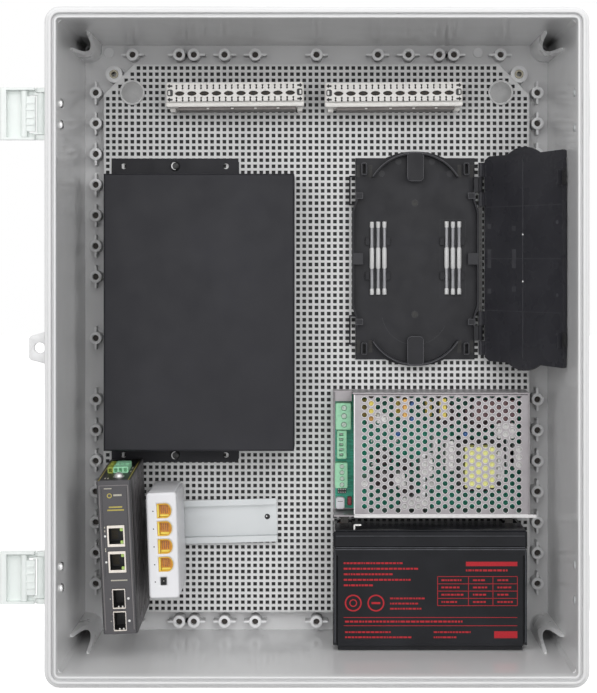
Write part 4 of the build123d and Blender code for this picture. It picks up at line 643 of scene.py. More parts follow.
def grid_mesh(pitch, hole, y_front, y_back):
    """The plate's front with its square holes, whose walls reach back."""
    columns, rows = 69, 89
    edge_x, edge_z = PLATE_EDGE
    corner_limit = 371.0
    tiny = 1e-6
    verts, faces = [], []

    def face_up(points):
        start = len(verts)
        verts.extend((x, y_front, z) for x, z in points)
        faces.append(tuple(range(start, start + len(points))))

    def wall(points):
        for (x0, z0), (x1, z1) in zip(points, points[1:] + points[:1]):
            start = len(verts)
            verts.extend(((x0, y_front, z0), (x1, y_front, z1), (x1, y_back, z1), (x0, y_back, z0)))
            faces.append((start, start + 1, start + 2, start + 3))

    half, gap = pitch / 2, hole / 2
    for column in range(columns):
        x = (column - (columns - 1) / 2) * pitch
        x0 = -edge_x if column == 0 else x - half
        x1 = edge_x if column == columns - 1 else x + half
        for row in range(rows):
            z = (row - (rows - 1) / 2) * pitch
            z0 = -edge_z if row == 0 else z - half
            z1 = edge_z if row == rows - 1 else z + half
            reach = abs(x) + abs(z)
            if reach > corner_limit + tiny:
                continue
            if reach > corner_limit - 2 * half + tiny:
                sx, sz = (1 if x > 0 else -1), (1 if z > 0 else -1)
                near = (x - sx * half, z - sz * half)
                loop = [near, (x + sx * half, near[1]), (near[0], z + sz * half)]
                if sx * sz < 0:
                    loop.reverse()
                face_up(loop)
                continue
            outer = [(x0, z0), (x1, z0), (x1, z1), (x0, z1)]
            inner = [(x - gap, z - gap), (x + gap, z - gap), (x + gap, z + gap), (x - gap, z + gap)]
            for n in range(4):
                m = (n + 1) % 4
                face_up([outer[n], outer[m], inner[m], inner[n]])
            wall(inner[::-1])
    loose = bpy.data.meshes.new("grid")
    loose.from_pydata(verts, [], faces)
    form = bmesh.new()
    form.from_mesh(loose)
    bpy.data.meshes.remove(loose)
    bmesh.ops.remove_doubles(form, verts=form.verts[:], dist=0.01)
    mesh = bpy.data.meshes.new("grid")
    form.to_mesh(mesh)
    form.free()
    return mesh


def build_plate(sizes):
    """The perforated plate with its whole grid, over a near-black backing sheet of painted shade."""
    back = PLATE_Y + 2.0
    edge_x, edge_z = PLATE_EDGE
    piece = Piece()
    piece.add(grid_mesh(sizes.grid_pitch * 1000, sizes.grid_hole * 1000, PLATE_Y, back), "plate")
    outline = []
    for sx, sz in ((1, 1), (-1, 1), (-1, -1), (1, -1)):
        a, b = (sx * edge_x, sz * (edge_z - PLATE_CUT)), (sx * (edge_x - PLATE_CUT), sz * edge_z)
        outline += [a, b] if sx * sz > 0 else [b, a]
    inner = [(x * 0.9985, z * 0.9985) for x, z in outline]
    # The backing sheet is painted shade seen through the holes.
    piece.add(sheet_mesh(inner, [], back, 0.5), "plate_painted_shade")
    rim = sheet_mesh(outline, [[(x * 0.9955, z * 0.9965) for x, z in outline]], PLATE_Y, 2.5, 0.2)
    piece.add(rim, "plate")
    piece.done("perforated_plate", "plate", replaces=("mounting_plate",), angle=30)


def build_fixings():
    """Round-headed caps of the plate's four fixings, each with a bright rim."""
    piece = Piece()
    plug_y = PLATE_Y + 9.4
    dome = turned_mesh([(0, PLATE_Y - 1.75), (3.5, PLATE_Y - 1.68), (6.4, PLATE_Y - 1.4),
                        (8.5, PLATE_Y - 0.95), (8.5, PLATE_Y - 0.2), (3.9, PLATE_Y), (3.9, plug_y),
                        (0, plug_y)], 40)
    rim = turned_mesh([(8.45, PLATE_Y - 0.9), (8.8, PLATE_Y - 1.5), (9.2, PLATE_Y - 1.75),
                       (9.7, PLATE_Y - 1.7), (10.15, PLATE_Y - 1.2), (10.25, PLATE_Y - 0.05),
                       (8.45, PLATE_Y), (8.45, PLATE_Y - 0.9)], 40)
    for x, z in four_corners(*PLATE_FIXING):
        piece.add(dome, "fixing", (x, 0, z), keep=True)
        piece.add(rim, "pale_rim_and_painted_glint", (x, 0, z), keep=True)
    piece.done("plate_caps", "plate_fixing", replaces=("plate_fixings",))


def crescent(radius, thick, open_angle, steps=14):
    """A crescent loop about the origin, thickest on its left."""
    angles = [open_angle + (2 * pi - 2 * open_angle) * n / steps for n in range(steps + 1)]
    outer = [(radius * cos(a), radius * sin(a)) for a in angles]
    inner = []
    for n, a in enumerate(angles):
        near = radius - thick * sin(pi * n / steps) - 0.02
        inner.append((near * cos(a), near * sin(a)))
    return outer + inner[::-1]


def screw_mesh(radius, height, shank, length):
    """A pan-head screw with a cross recess, its head towards the front."""
    profile = [(0, -height), (radius * 0.45, -height * 0.97), (radius * 0.75, -height * 0.82),
               (radius * 0.93, -height * 0.5), (radius, -height * 0.15), (radius, 0), (shank, 0),
               (shank, length - 0.6), (shank * 0.5, length), (0, length)]
    head = turned_mesh(profile, 28)
    arm, narrow = radius * 0.52, 0.42 * radius / 3
    for half_x, half_z in ((arm, narrow), (narrow, arm)):
        slot = box_mesh((-half_x, half_x), (-height - 1, -height * 0.55), (-half_z, half_z))
        head = carved_mesh(head, slot)
    return head


def build_screws():
    """Screws of the latches, the hinges, the black box and the rail."""
    piece = Piece()
    latch_head = screw_mesh(3.6, 2.4, 1.9, 7.0)
    hinge_head = screw_mesh(3.2, 1.0, 1.9, 6.0)
    floor_half_width = 189.95
    for side, y, mid, spacing, head, finish in ((-1, -145.0, 172.5, 16.0, latch_head, "bright"),
                                                (1, -151.5, 175.0, 26.0, hinge_head, "rail")):
        seat = floor_half_width + (FLOOR_Y - y) * WALL_SLOPE
        for end in (-1, 1):
            for off in (-spacing / 2, spacing / 2):
                turn = Matrix.Rotation(radians(-90 * side), 4, "Z")
                turn = turn @ Matrix.Rotation(radians(31 * off), 4, "Y")
                at = Matrix.Translation((side * (seat - 0.05), y, end * mid + off)) @ turn
                piece.add(head, finish, at, keep=True)
    piece.done("wall_screws", "bright_screw", replaces=("latch_screws", "hinge_screws"))
    piece = Piece()
    flange = screw_mesh(4.0, 2.2, 1.3, 5.0)
    small = screw_mesh(2.2, 1.6, 1.2, 5.0)
    # A crescent of painted highlight lies on each flange screw's head.
    glint = sheet_mesh(crescent(3.1, 1.1, 1.3), [], PLATE_Y - 3.55, 0.3)
    box_x = -115.0
    for z, turn in ((140.0, 20), (-95.0, 65)):
        at = Matrix.Translation((box_x, PLATE_Y - 1.2, z)) @ Matrix.Rotation(radians(turn), 4, "Y")
        piece.add(flange, "black", at, keep=True)
        piece.add(glint, "pale_rim_and_painted_glint", (box_x, 0, z), keep=True)
    for x, z in ((-160.0, -150.0), (-40.0, -145.0)):
        piece.add(small, "black", (x, PLATE_Y - 1.0, z), keep=True)
        # A small bright disc on each small screw's head is a painted highlight.
        painted_glint = turned_placed([(0, -0.2), (0.5, -0.15), (0.7, 0.1), (0, 0.1)],
                              (x - 0.6, PLATE_Y - 2.75, z + 0.5))
        piece.add(painted_glint, "bright")
    piece.done("plate_bolts", "bright_screw", replaces=("plate_screws",))


# Terminal strips


def slot_loop(x, z, radius=0.8, spread=1.12, steps=8):
    """A contact slot: two round mouths joined by a thin gap."""
    reach = pi * 0.82
    loop = []
    for side in (1, -1):
        for n in range(steps + 1):
            angle = side * pi / 2 + reach * (1 - 2 * n / steps)
            loop.append((x + radius * cos(angle), z + side * spread + radius * sin(angle)))
    return loop


def lens_loop(x, z, width, height, steps=8):
    """A pointed oval."""
    turns = [pi * n / steps for n in range(steps + 1)]
    top = [(x + width / 2 * cos(a), z + height / 2 * sin(a) ** 1.2) for a in turns]
    low = [(2 * x - px, 2 * z - pz) for px, pz in top[1:-1]]
    return top + low


STRIP_Z = 194.7
STRIP_TURN = -0.5
CELLS = 10
CELL = 9.76
SLOT_PITCH = 4.88


def build_strip(end, x_mid):
    """A contact strip: moulded face with slots, a block of painted shade and blackish contacts behind, the
    frame's metal underside in painted shade, and end marks.
    """
    place = turn_place(x_mid, 0, STRIP_Z, 0, STRIP_TURN, 0)
    y_front = PLATE_Y - 37.6
    y_back = y_front + 16.0
    cells = [(n - (CELLS - 1) / 2) * CELL for n in range(CELLS)]
    piece = Piece(place)
    slots = []
    for n in range(2 * CELLS):
        for z in (6.7, -3.0):
            slots.append(slot_loop((n - (2 * CELLS - 1) / 2) * SLOT_PITCH, z))
    ovals = [lens_loop(x, 1.5, 7.6, 3.7) for x in cells]
    face = sheet_mesh(rounded(0, 2.5, 107.6, 15.0, 0.8), slots + ovals, y_front, 3.0, 0.12)
    piece.add(face, "strip")
    # A block of painted shade behind the face makes the slots read near-black.
    piece.box((-53.4, 53.4), (y_front + 2.9, y_back), (-4.6, 9.6), "dark")
    for x in cells:
        for side in (-1, 1):
            piece.box(about(x + side * 1.7, 1.0), (y_front + 2.2, y_front + 3.2), (0.6, 2.4), "contact", 0.2)
    piece.box((-54.8, 54.8), (y_front + 3.0, y_back), (-8.7, -4.8), "strip", 0.5)
    piece.box((-54.8, 54.8), (y_front + 4.6, y_back), (-5, 10), "strip", 0.5)
    for x in cells:
        piece.box(about(x, 0.25), (y_front - 0.25, y_front + 1), (3.6, 8.6), "strip", 0.1)
        piece.box(about(x - SLOT_PITCH, 0.2), (y_front + 2.6, y_front + 3.4), (-8.4, -5.2), "strip", 0.1)
    # The frame's underside takes painted shade for its colour.
    painted_shade_apron = Piece(place)
    painted_shade_apron.box((-45.5, 48.3), (y_front + 9.0, PLATE_Y - 0.05), (-10.9, -8.2), "painted_shade_apron", 0.3)
    for x in (-22.0, -2.5, 16.0, 34.0):
        painted_shade_apron.box(about(x, 1.2), (y_front + 8.8, y_front + 10), (-10.5, -9.2), "strip", 0.2)
    for span in ((-52.6, -48.0), (49.2, 53.4)):
        painted_shade_apron.box(span, (y_back, PLATE_Y - 0.05), (-11.6, -8.6), "strip", 0.5)
    painted_shade_apron.done("strip_apron_painted_shade_" + end, "strip_metal")
    piece.done("contact_strip_" + end, "strip_plastic", replaces=("strip_body_" + end,))
    build_strip_marks(end, place, y_front)
    dress("strip_frame_" + end, "strip_metal")


def build_strip_marks(end, place, y_front):
    """Black end marks of a strip: two short bars with stems and a ring at each end."""
    marks = Piece(place)
    depth = (y_front - 0.5, y_front + 0.6)
    for side in (-1, 1):
        x = side * 51.4
        for z, width in ((7.4, 3.8), (-3.4, 4.0)):
            marks.box(about(x, width / 2), depth, about(z, 0.75), "black", 0.25)
            marks.box(about(x + side * 0.6, 0.6), depth, about(z, 1.4), "black", 0.25)
        ring = sheet_mesh(rounded(x, 2.0, 4.4, 5.4, 1.4), [rounded(x + side * 0.7, 2.0, 1.6, 3.4, 0.5, 2)],
                          y_front - 0.4, 1.0, 0.1)
        marks.add(ring, "black")
    marks.done("strip_marks_" + end, "strip_dark", replaces=("strip_caps",))


def build_strips():
    """Both strips."""
    for end, x in (("left", -64.9), ("right", 61.4)):
        build_strip(end, x)


# Power supply

BOARD_Y = PLATE_Y - 7.6
COVER_FRONT = PLATE_Y - 40.0


def build_supply_cover():
    """Cover with its full field of round vents, each with a rim of painted highlight, and the ledge below it,
    whose front is painted highlight too.
    """
    piece = Piece()
    left, right, bottom, top = 29.6, 167.5, -138.5, -43.1
    front = COVER_FRONT
    sheet = 1.2
    step_x, step_z, radius = 5.325, 6.05, 2.1
    vent_limit = top - 0.8
    vent_sides = 14
    rim = turned_mesh([(radius + 0.02, 0.1), (radius + 0.02, -0.1), (radius + 0.3, -0.1),
                       (radius + 0.42, 0.05), (radius + 0.02, 0.1)], vent_sides)
    vents = []
    for column in range(24):
        x = 37.9 + column * step_x
        first, rows = (-46.9, 15) if column % 2 == 0 else (-43.85, 16)
        for row in range(rows):
            z = first - row * step_z
            vents.append([(px, min(pz, vent_limit)) for px, pz in circle(x, z, radius, vent_sides)])
            if z + radius < vent_limit:
                piece.add(rim, "zinc_painted_highlight", (x, front, z), keep=True)
    x_mid, z_mid = (left + right) / 2, (bottom + top) / 2
    outline = rounded(x_mid, z_mid, right - left, top - bottom, 0.6, 2)
    piece.add(sheet_mesh(outline, vents, front, sheet, 0.1), "zinc")
    deep = (front + 0.2, PLATE_Y - 10)
    edge = (front - 0.12, front + 0.4)
    piece.box((left, right), deep, (top - sheet, top), "zinc", 0.3)
    piece.box((left, right), deep, (bottom, bottom + sheet), "zinc", 0.3)
    piece.box((left, left + sheet), (front + 0.2, front + 12), (bottom + sheet, top - sheet), "zinc", 0.3)
    # The cover's left and bottom edges are painted highlight.
    piece.box((left - 0.05, left + 0.75), edge, (bottom, top), "zinc_painted_highlight", 0.1)
    piece.box((left, right), edge, (bottom - 0.05, bottom + 0.7), "zinc_painted_highlight", 0.1)
    piece.done("vented_cover", "zinc_sheet", replaces=("supply_cover",), angle=30)
    piece = Piece()
    ledge_low = bottom - 2.2
    # The ledge's front is painted highlight.
    piece.box((left, right + 6.8), (front + 0.6, front + 2.0), (ledge_low, bottom + 0.3), "zinc_painted_highlight", 0.3)
    piece.box((left, right), (front + 1.8, PLATE_Y - 0.05), (ledge_low, bottom - 0.6), "zinc", 0.3)
    piece.done("supply_ledge", "zinc_sheet")


def screw_terminal(piece, x, z_list, span_x, span_z, front, radius, mouth):
    """A green block with round clamp screws and wire mouths on its left."""
    block = box_mesh(span_x, (front, BOARD_Y), span_z, 0.5)
    well = [(0, -4), (radius, -4), (radius, 2.6), (0, 2.6)]
    for z in z_list:
        block = carved_mesh(block, turned_placed(well, (x, front, z)))
        opening = box_mesh((span_x[0] - 1, span_x[0] + mouth), (front + 4, front + 10.5),
                           (z - radius + 0.2, z + radius - 0.2), 0.3)
        block = carved_mesh(block, opening)
    piece.add(block, "terminal")
    inner = radius * 0.86
    head = turned_mesh([(0, 1.0), (radius * 0.8, 1.05), (inner, 1.4), (inner, 2.7), (0, 2.7)], 20)
    slot = box_mesh((-radius, radius), (0, 1.6), (-0.3, 0.3))
    head = carved_mesh(head, slot)
    for n, z in enumerate(z_list):
        at = Matrix.Translation((x, front, z)) @ Matrix.Rotation(radians(35 + 50 * n), 4, "Y")
        piece.add(head, "screw_pale", at, keep=True)


def build_supply_terminals():
    """Green screw terminals, the narrow plug between them, and the parts below."""
    piece = Piece()
    screw_terminal(piece, 22.0, (-55.0, -61.5, -68.4), (15.4, 27.6), (-72.4, -51.2), PLATE_Y - 23, 2.3, 3.0)
    piece.done("input_terminal", "green_plastic", replaces=("supply_terminal_input",))
    piece = Piece()
    screw_terminal(piece, 20.4, (-102.0, -106.9, -111.8, -116.7), (14.8, 24.8), (-119.4, -99.2),
                   PLATE_Y - 22, 1.9, 2.4)
    piece.done("output_terminal", "green_plastic", replaces=("supply_terminal_output",))
    piece = Piece()
    block = box_mesh((16.4, 24.2), (PLATE_Y - 20, BOARD_Y), (-96.0, -73.2), 0.5)
    for n in range(5):
        z = -76.5 - n * 4.1
        block = carved_mesh(block, box_mesh((18.2, 21.6), (PLATE_Y - 21, PLATE_Y - 15), about(z, 1.2)))
        piece.box((18.8, 21.0), (PLATE_Y - 16.4, PLATE_Y - 15), about(z, 0.5), "can_top", 0.2)
    piece.add(block, "terminal")
    piece.box((22.6, 24.0), (PLATE_Y - 20.6, PLATE_Y - 19.6), (-95.4, -73.8), "terminal", 0.3)
    piece.done("plug_terminal", "green_plastic", replaces=("supply_plug",))
    piece = Piece()
    piece.box((17.0, 24.0), (PLATE_Y - 10, BOARD_Y), (-125.0, -120.0), "black", 0.3)
    for n in range(4):
        x = 17.9 + n * 1.75
        for z in (-121.3, -123.6):
            piece.box(about(x, 0.3), (PLATE_Y - 14, PLATE_Y - 9.5), about(z, 0.3), "tab", 0.1)
    piece.done("pin_header", "black_plastic", replaces=("supply_header",))
    piece = Piece()
    piece.box((15.6, 22.4), (PLATE_Y - 18, BOARD_Y), (-136.6, -127.4), "relay", 0.8)
    piece.box((17.0, 21.0), (PLATE_Y - 18.15, PLATE_Y - 17.9), (-130.6, -130.2), "dark")
    piece.done("relay_block", "white_relay", replaces=("supply_relay",))


# Cans as (x, z, radius, height above the plate)
CANS = (
    (54.0, -112.0, 8.0, 32.0), (54.0, -94.0, 6.5, 30.0), (72.0, -118.0, 6.5, 31.0),
    (71.0, -100.0, 5.0, 26.0), (104.0, -60.0, 9.0, 33.0), (130.0, -62.0, 11.0, 34.0),
)
# Film capacitors as (left, right, low, high, height above the plate)
FILM_CAPACITORS = (
    (36.0, 42.6, -62.0, -47.6, 25.0), (62.4, 67.4, -62.0, -46.6, 27.0), (87.0, 92.4, -62.0, -48.0, 25.0),
)
# Small parts as (left, right, low, high, height above the plate, surface)
BOARD_PARTS = (
    (41.4, 47.0, -59.8, -48.6, 36.5, "film"), (41.4, 46.6, -65.4, -60.2, 36.0, "orange"),
    (47.2, 50.6, -62.4, -57.0, 35.0, "glue"), (52.0, 56.8, -66.0, -59.6, 35.0, "glue"),
    (68.6, 73.4, -61.6, -46.8, 36.8, "orange"), (98.0, 100.6, -60.4, -50.6, 36.0, "film"),
    (100.8, 103.4, -60.4, -50.6, 35.5, "black"), (145.4, 155.0, -78.4, -66.6, 34.0, "glue"),
    (156.6, 161.6, -100.8, -86.0, 35.5, "glue"), (102.8, 108.4, -103.4, -84.0, 36.0, "glue"),
    (84.2, 88.2, -105.2, -98.8, 35.5, "glue"), (89.4, 94.2, -117.0, -112.0, 35.5, "glue"),
    (64.8, 71.4, -118.0, -110.6, 36.0, "glue"), (35.8, 40.4, -116.0, -111.2, 35.5, "glue"),
    (69.4, 88.2, -133.8, -128.4, 34.0, "glue"), (141.2, 154.6, -66.0, -55.0, 34.0, "choke"),
    (118.4, 119.8, -66.0, -55.0, 34.0, "choke"), (117.8, 141.6, -117.2, -84.6, 38.3, "tape"),
    (41.4, 47.0, -60.0, -46.6, 38.2, "film"), (47.6, 55.0, -66.0, -60.4, 38.0, "glue"),
    (68.4, 73.6, -61.8, -46.8, 38.2, "orange"), (97.6, 103.0, -62.0, -46.4, 38.0, "film"),
    (92.4, 96.0, -92.0, -78.0, 37.6, "glue"), (102.4, 109.0, -104.0, -80.0, 37.8, "glue"),
    (82.0, 92.0, -108.0, -94.0, 37.4, "glue"), (62.0, 70.0, -116.0, -106.0, 37.6, "glue"),
    (68.0, 90.0, -134.0, -125.0, 37.0, "glue"), (143.4, 157.0, -78.0, -66.0, 37.8, "glue"),
    (143.6, 149.0, -112.0, -88.0, 37.0, "glue"), (156.6, 162.4, -102.0, -84.0, 37.8, "glue"),
    (34.8, 41.0, -117.0, -110.0, 37.6, "glue"), (124.0, 160.0, -64.0, -48.0, 35.0, "choke"),
)


def build_supply_inside():
    """Transformer, capacitors and small parts seen through the vents."""
    piece = Piece()
    piece.box((117.4, 142.0), (PLATE_Y - 30, BOARD_Y), (-117.6, -84.2), "tape", 1.2, 3)
    piece.done("transformer_winding", "yellow_tape", replaces=("supply_transformer",))
    piece = Piece()
    for x, z, radius, height in CANS:
        top = PLATE_Y - height
        can = turned_mesh([(radius, BOARD_Y), (radius, top + 0.8), (radius - 0.5, top + 0.1),
                           (radius - 0.9, top), (0, top + 0.01)], 32)
        piece.add(can, "can", (x, 0, z))
        lid = turned_mesh([(radius - 1.0, top), (radius - 1.1, top - 0.06), (0, top - 0.02)], 32)
        piece.add(lid, "can", (x, 0, z))
    piece.done("capacitor_cans", "can", replaces=("supply_capacitors",))
    piece = Piece()
    for left, right, low, high, height in FILM_CAPACITORS:
        piece.box((left, right), (PLATE_Y - height, BOARD_Y), (low, high), "film", 1.0, 3)
    piece.done("film_capacitor_set", "film_yellow", replaces=("supply_film_capacitors",))
    build_board_parts()


def build_board_parts():
    """Blue beads, blocks and a scatter of tiny parts on the board."""
    piece = Piece()
    for x, z in ((76.4, -51.3), (76.4, -62.9), (65.1, -74.7), (119.0, -75.2), (156.9, -72.3)):
        bead = turned_mesh([(0, -27.6), (2.0, -27.2), (2.9, -25.6), (2.9, -20.5), (1.2, 0.1), (0, 0.1)], 16)
        piece.add(bead, "blue", (x, BOARD_Y, z))
    for left, right, low, high, height, finish in BOARD_PARTS:
        back = PLATE_Y - 30.2 if finish == "tape" else BOARD_Y
        piece.box((left, right), (PLATE_Y - height, back), (low, high), finish, 0.6, 2)
    piece.box((112.2, 114.8), (PLATE_Y - 36.0, BOARD_Y), (-115.0, -78.0), "black", 0.5)
    rng = random.Random(7)
    for _ in range(90):
        x, z = rng.uniform(32, 160), rng.uniform(-134, -48)
        w, h = rng.choice(((2.0, 1.2), (1.2, 2.0), (3.2, 1.6), (1.6, 4.0)))
        top = BOARD_Y - rng.uniform(0.7, 2.6)
        finish = rng.choice(("ferrite", "can_top", "glue", "tab", "black"))
        piece.box((x, x + w), (top, BOARD_Y), (z, z + h), finish, 0.2)
    piece.done("board_parts", "board")


# Battery

BATTERY_X = 88.4
BATTERY_BACK = PLATE_Y - 2.3
BATTERY_FRONT = BATTERY_BACK - 65.0
BATTERY_FOOT = -239.95
BATTERY_SEAM = BATTERY_FOOT + 79.6


def build_battery():
    """Case and lid with soft edges, moulded steps, edge lines of painted highlight and a pale lug."""
    left, right = BATTERY_X - 75.5, BATTERY_X + 75.5
    front, back, foot, seam = BATTERY_FRONT, BATTERY_BACK, BATTERY_FOOT, BATTERY_SEAM
    top = seam + 14.0
    piece = Piece()
    piece.box((left, right), (front, back), (foot, seam - 0.9), "battery", 3.6, 5)
    piece.box((left + 0.4, right - 0.4), (front + 0.4, back - 0.4), (seam - 6, seam - 0.85),
              "battery", 0.8, 2)
    piece.box((left + 1.0, right - 1.0), (front + 0.9, back - 0.9), (seam - 3, seam + 1), "battery", 0.4)
    # Lines of painted highlight along the case's front edges.
    piece.box((left + 1.2, right - 1.2), (front + 0.1, front + 1.6), (seam - 1.5, seam - 0.75),
              "battery_painted_highlight", 0.2)
    for x in (left + 1.0, right - 1.7):
        piece.box((x, x + 0.7), (front + 0.3, front + 1.6), (foot + 6.0, seam - 2.0), "battery_painted_highlight", 0.2)
    piece.done("battery_box", "battery_plastic", replaces=("battery_case",))
    piece = Piece()
    lid = box_mesh((left, right), (front, back), (seam - 0.1, top), 1.5, 3)
    pole_y = back - 12 - 6.3
    for side in (-1, 1):
        pole_x = BATTERY_X + side * 66.0
        lid = carved_mesh(lid, box_mesh(about(pole_x, 6), about(pole_y, 8), about(top, 2), 0.3))
    groove = box_mesh((left + 20, right - 1.8), (front - 1, front + 0.5), (top - 5.6, top - 4.9))
    lid = carved_mesh(lid, groove)
    piece.add(lid, "battery")
    # Lines of painted highlight along the lid's groove and seam.
    edge = (front - 0.08, front + 0.3)
    piece.box((left + 2, right - 2), edge, (top - 4.9, top - 4.3), "battery_painted_highlight", 0.1)
    piece.box((left + 2, right - 2), edge, (seam + 0.2, seam + 0.7), "battery_painted_highlight", 0.1)
    x, y = left + 9.5, pole_y
    piece.box((x - 5.0, x - 1.0), (y - 6.0, y + 5.0), (top - 2.1, top - 1.0), "copper", 0.4)
    piece.box((x + 3.6, x + 5.4), (y - 5.0, y + 3.0), (top - 2.1, top - 0.6), "tab", 0.3)
    piece.box((x + 6.6, x + 12.6), (front + 5.0, front + 6.0), (top + 2.6, top + 3.8), "tab", 0.4)
    piece.box((x + 6.4, x + 7.6), (front + 4.6, front + 6.4), (top - 0.4, top + 3.6), "tab", 0.4)
    piece.done("battery_top", "battery_plastic", replaces=("battery_lid",))


def build_print():
    """Generic red bars, a small table and plain rings on the battery's face."""
    piece = Piece()
    y0, y1 = BATTERY_FRONT - 0.06, BATTERY_FRONT + 0.2
    rule = 0.45
    rng = random.Random(3)

    def bar(x, z, width, height):
        piece.box((x, x + width), (y0, y1), about(z, height / 2), "print")

    def ring(x, z, radius, thick):
        loop = sheet_mesh(circle(x, z, radius, 28), [circle(x, z, radius - thick, 28)], y0, 0.26)
        piece.add(loop, "print")

    def dashes(x, z, width, height):
        end = x + width
        while x < end - height:
            length = min(rng.uniform(0.7, 2.4) * height, end - x)
            bar(x, z, length, height)
            x += length + height * 0.45

    left, right = 21.0, 156.0
    for n, width in enumerate((46.0, 58.0, 38.0, 52.0, 24.0)):
        dashes(left, -172.0 - n * 4.3, width, 1.4)
    bar(right - 40.0, -172.6, 40.0, 3.4)
    dashes(right - 40.0, -177.6, 33.0, 1.5)
    table_left, table_high, table_low = right - 62.0, -182.4, -205.0
    for n in range(5):
        bar(table_left, table_high + (table_low - table_high) * n / 4, right - table_left, rule)
    for x in (table_left, table_left + 24.0, table_left + 43.0, right):
        bar(x - 0.22, (table_high + table_low) / 2, rule, table_high - table_low)
    for n in range(4):
        z = table_high - 2.8 - n * 5.65
        for inset, width in ((3.0, 17.0 - 3.0 * (n % 2)), (27.5, 11.0), (46.5, 9.0 + 3.0 * (n % 2))):
            dashes(table_left + inset, z, width, 1.4)
    ring(left + 7.4, -203.0, 6.6, 1.1)
    ring(left + 7.4, -203.0, 3.0, 0.8)
    ring(left + 25.0, -203.0, 6.6, 1.1)
    bar(left + 21.6, -203.0, 6.8, 1.6)
    for z, width in ((-199.4, 28.0), (-203.4, 22.0), (-207.4, 25.0)):
        dashes(left + 36.0, z, width, 1.3)
    bar(left, -214.2, right - left, rule)
    dashes(left + 1.0, -217.4, 92.0, 1.5)
    bar(left, -220.6, right - left, rule)
    for inset, z, width in ((1.0, -225.6, 36.0), (1.0, -229.6, 52.0),
                            (70.0, -225.6, 30.0), (70.0, -229.6, 18.0)):
        dashes(left + inset, z, width, 1.3)
    bar(right - 18.0, -227.6, 18.0, 5.4)
    piece.done("battery_print", "battery_plastic")


# Devices on the rail

SWITCH = (-150.3, PLATE_Y - 12.2, -155.4, 4.5, -2.2, -1.0)
SWITCH_FRONT = -88.0
SWITCH_TOP = 59.25
SWITCH_JACK_Z = (16.6, -3.4)
SWITCH_CAGE_Z = (-31.9, -49.2)
HUB = (-118.1, PLATE_Y - 12.0, -155.2, 0.0, -2.0, 0.0)
HUB_FRONT = -76.0


def build_switch():
    """The industrial switch, piece by piece."""
    place = turn_place(*SWITCH)
    build_switch_face(place)
    build_switch_jacks(place)
    build_switch_cages(place)
    build_switch_marks(place)
    build_switch_top(place)
    build_switch_earth(place)


def build_switch_face(place):
    """Sheet front with its openings and edge lines of painted highlight."""
    front = SWITCH_FRONT
    piece = Piece(place)
    holes = [rounded(0, z, 13.6, 16.6, 0.2, 1) for z in SWITCH_JACK_Z]
    holes += [rounded(0, z, 10.0, 15.4, 0.2, 1) for z in SWITCH_CAGE_Z]
    piece.add(sheet_mesh(rounded(0, 0, 26, 118.5, 0.8), holes, front, 3.0, 0.35), "switch")
    # Edge lines of painted highlight along the front's folds.
    for x in (-11.2, 10.6):
        piece.box(about(x, 0.35), (front - 0.12, front + 0.2), (-56.0, 55.6), "switch_painted_highlight", 0.1)
    piece.box((-11.0, 10.4), (front - 0.12, front + 0.2), (55.2, 55.8), "switch_painted_highlight", 0.1)
    for x in (-12.55, 12.35):
        piece.box(about(x, 0.42), (front - 0.1, front + 0.3), (-58.4, 58.6), "black", 0.1)
    for x in (-9.2, 9.4):
        piece.box(about(x, 0.12), about(front, 0.1), (-16.0, 53.0), "black")
    piece.done("switch_face", "switch_paint", replaces=("switch_front",))


def build_switch_jacks(place):
    """Network jacks with plated rims, gilt contacts and green lamps."""
    front = SWITCH_FRONT
    piece = Piece(place)
    for z in SWITCH_JACK_Z:
        outer = rounded(0, z, 13.4, 16.4, 0.4, 2)
        mouth, throat = rounded(0.1, z, 11.0, 12.4, 0.2, 1), rounded(0.1, z, 11.4, 12.8, 0.2, 1)
        piece.add(sheet_mesh(outer, [mouth], front - 0.6, 1.2, 0.15), "plated")
        piece.add(sheet_mesh(outer, [throat], front + 0.6, 13.0), "black")
        piece.box((-6.4, 6.4), (front + 13.4, front + 16), about(z, 7.9), "black")
        for n in range(8):
            contact_z = z - 3.6 + n * 1.03
            piece.box((-4.6, 0.6), (front + 9.0, front + 9.3), about(contact_z, 0.12), "gilt")
        for side in (1, -1):
            piece.box((3.2, 5.5), (front - 0.2, front + 1.4), about(z + side * 4.9, 1.2), "led_green", 0.3)
    piece.done("network_jacks", "jack_metal", replaces=("switch_jacks",))


def build_switch_cages(place):
    """Module cages with plated rims, spring tabs and two inner tabs each."""
    front = SWITCH_FRONT
    piece = Piece(place)
    for z in SWITCH_CAGE_Z:
        outer = rounded(0, z, 9.8, 15.2, 0.3, 2)
        mouth, throat = rounded(0, z, 8.7, 13.8, 0.2, 1), rounded(0, z, 9.0, 14.0, 0.2, 1)
        piece.add(sheet_mesh(outer, [mouth], front - 0.6, 1.6, 0.12), "plated")
        piece.add(sheet_mesh(outer, [throat], front + 1, 15.5), "black")
        piece.box((-4.6, 4.6), (front + 15.8, front + 17), about(z, 7.2), "black")
        for side in (-1, 1):
            for n in range(5):
                spring_z = z - 5.6 + n * 2.8
                piece.box(about(side * 4.9, 0.3), (front - 0.75, front + 0.3), about(spring_z, 0.7),
                          "can_top", 0.12)
        for n in range(2):
            piece.box(about(-0.6 + n * 3.0, 0.6), (front + 1.0, front + 2.2), (z - 6.9, z - 5.8), "tab", 0.2)
    piece.done("module_cages", "jack_metal", replaces=("switch_cages",))


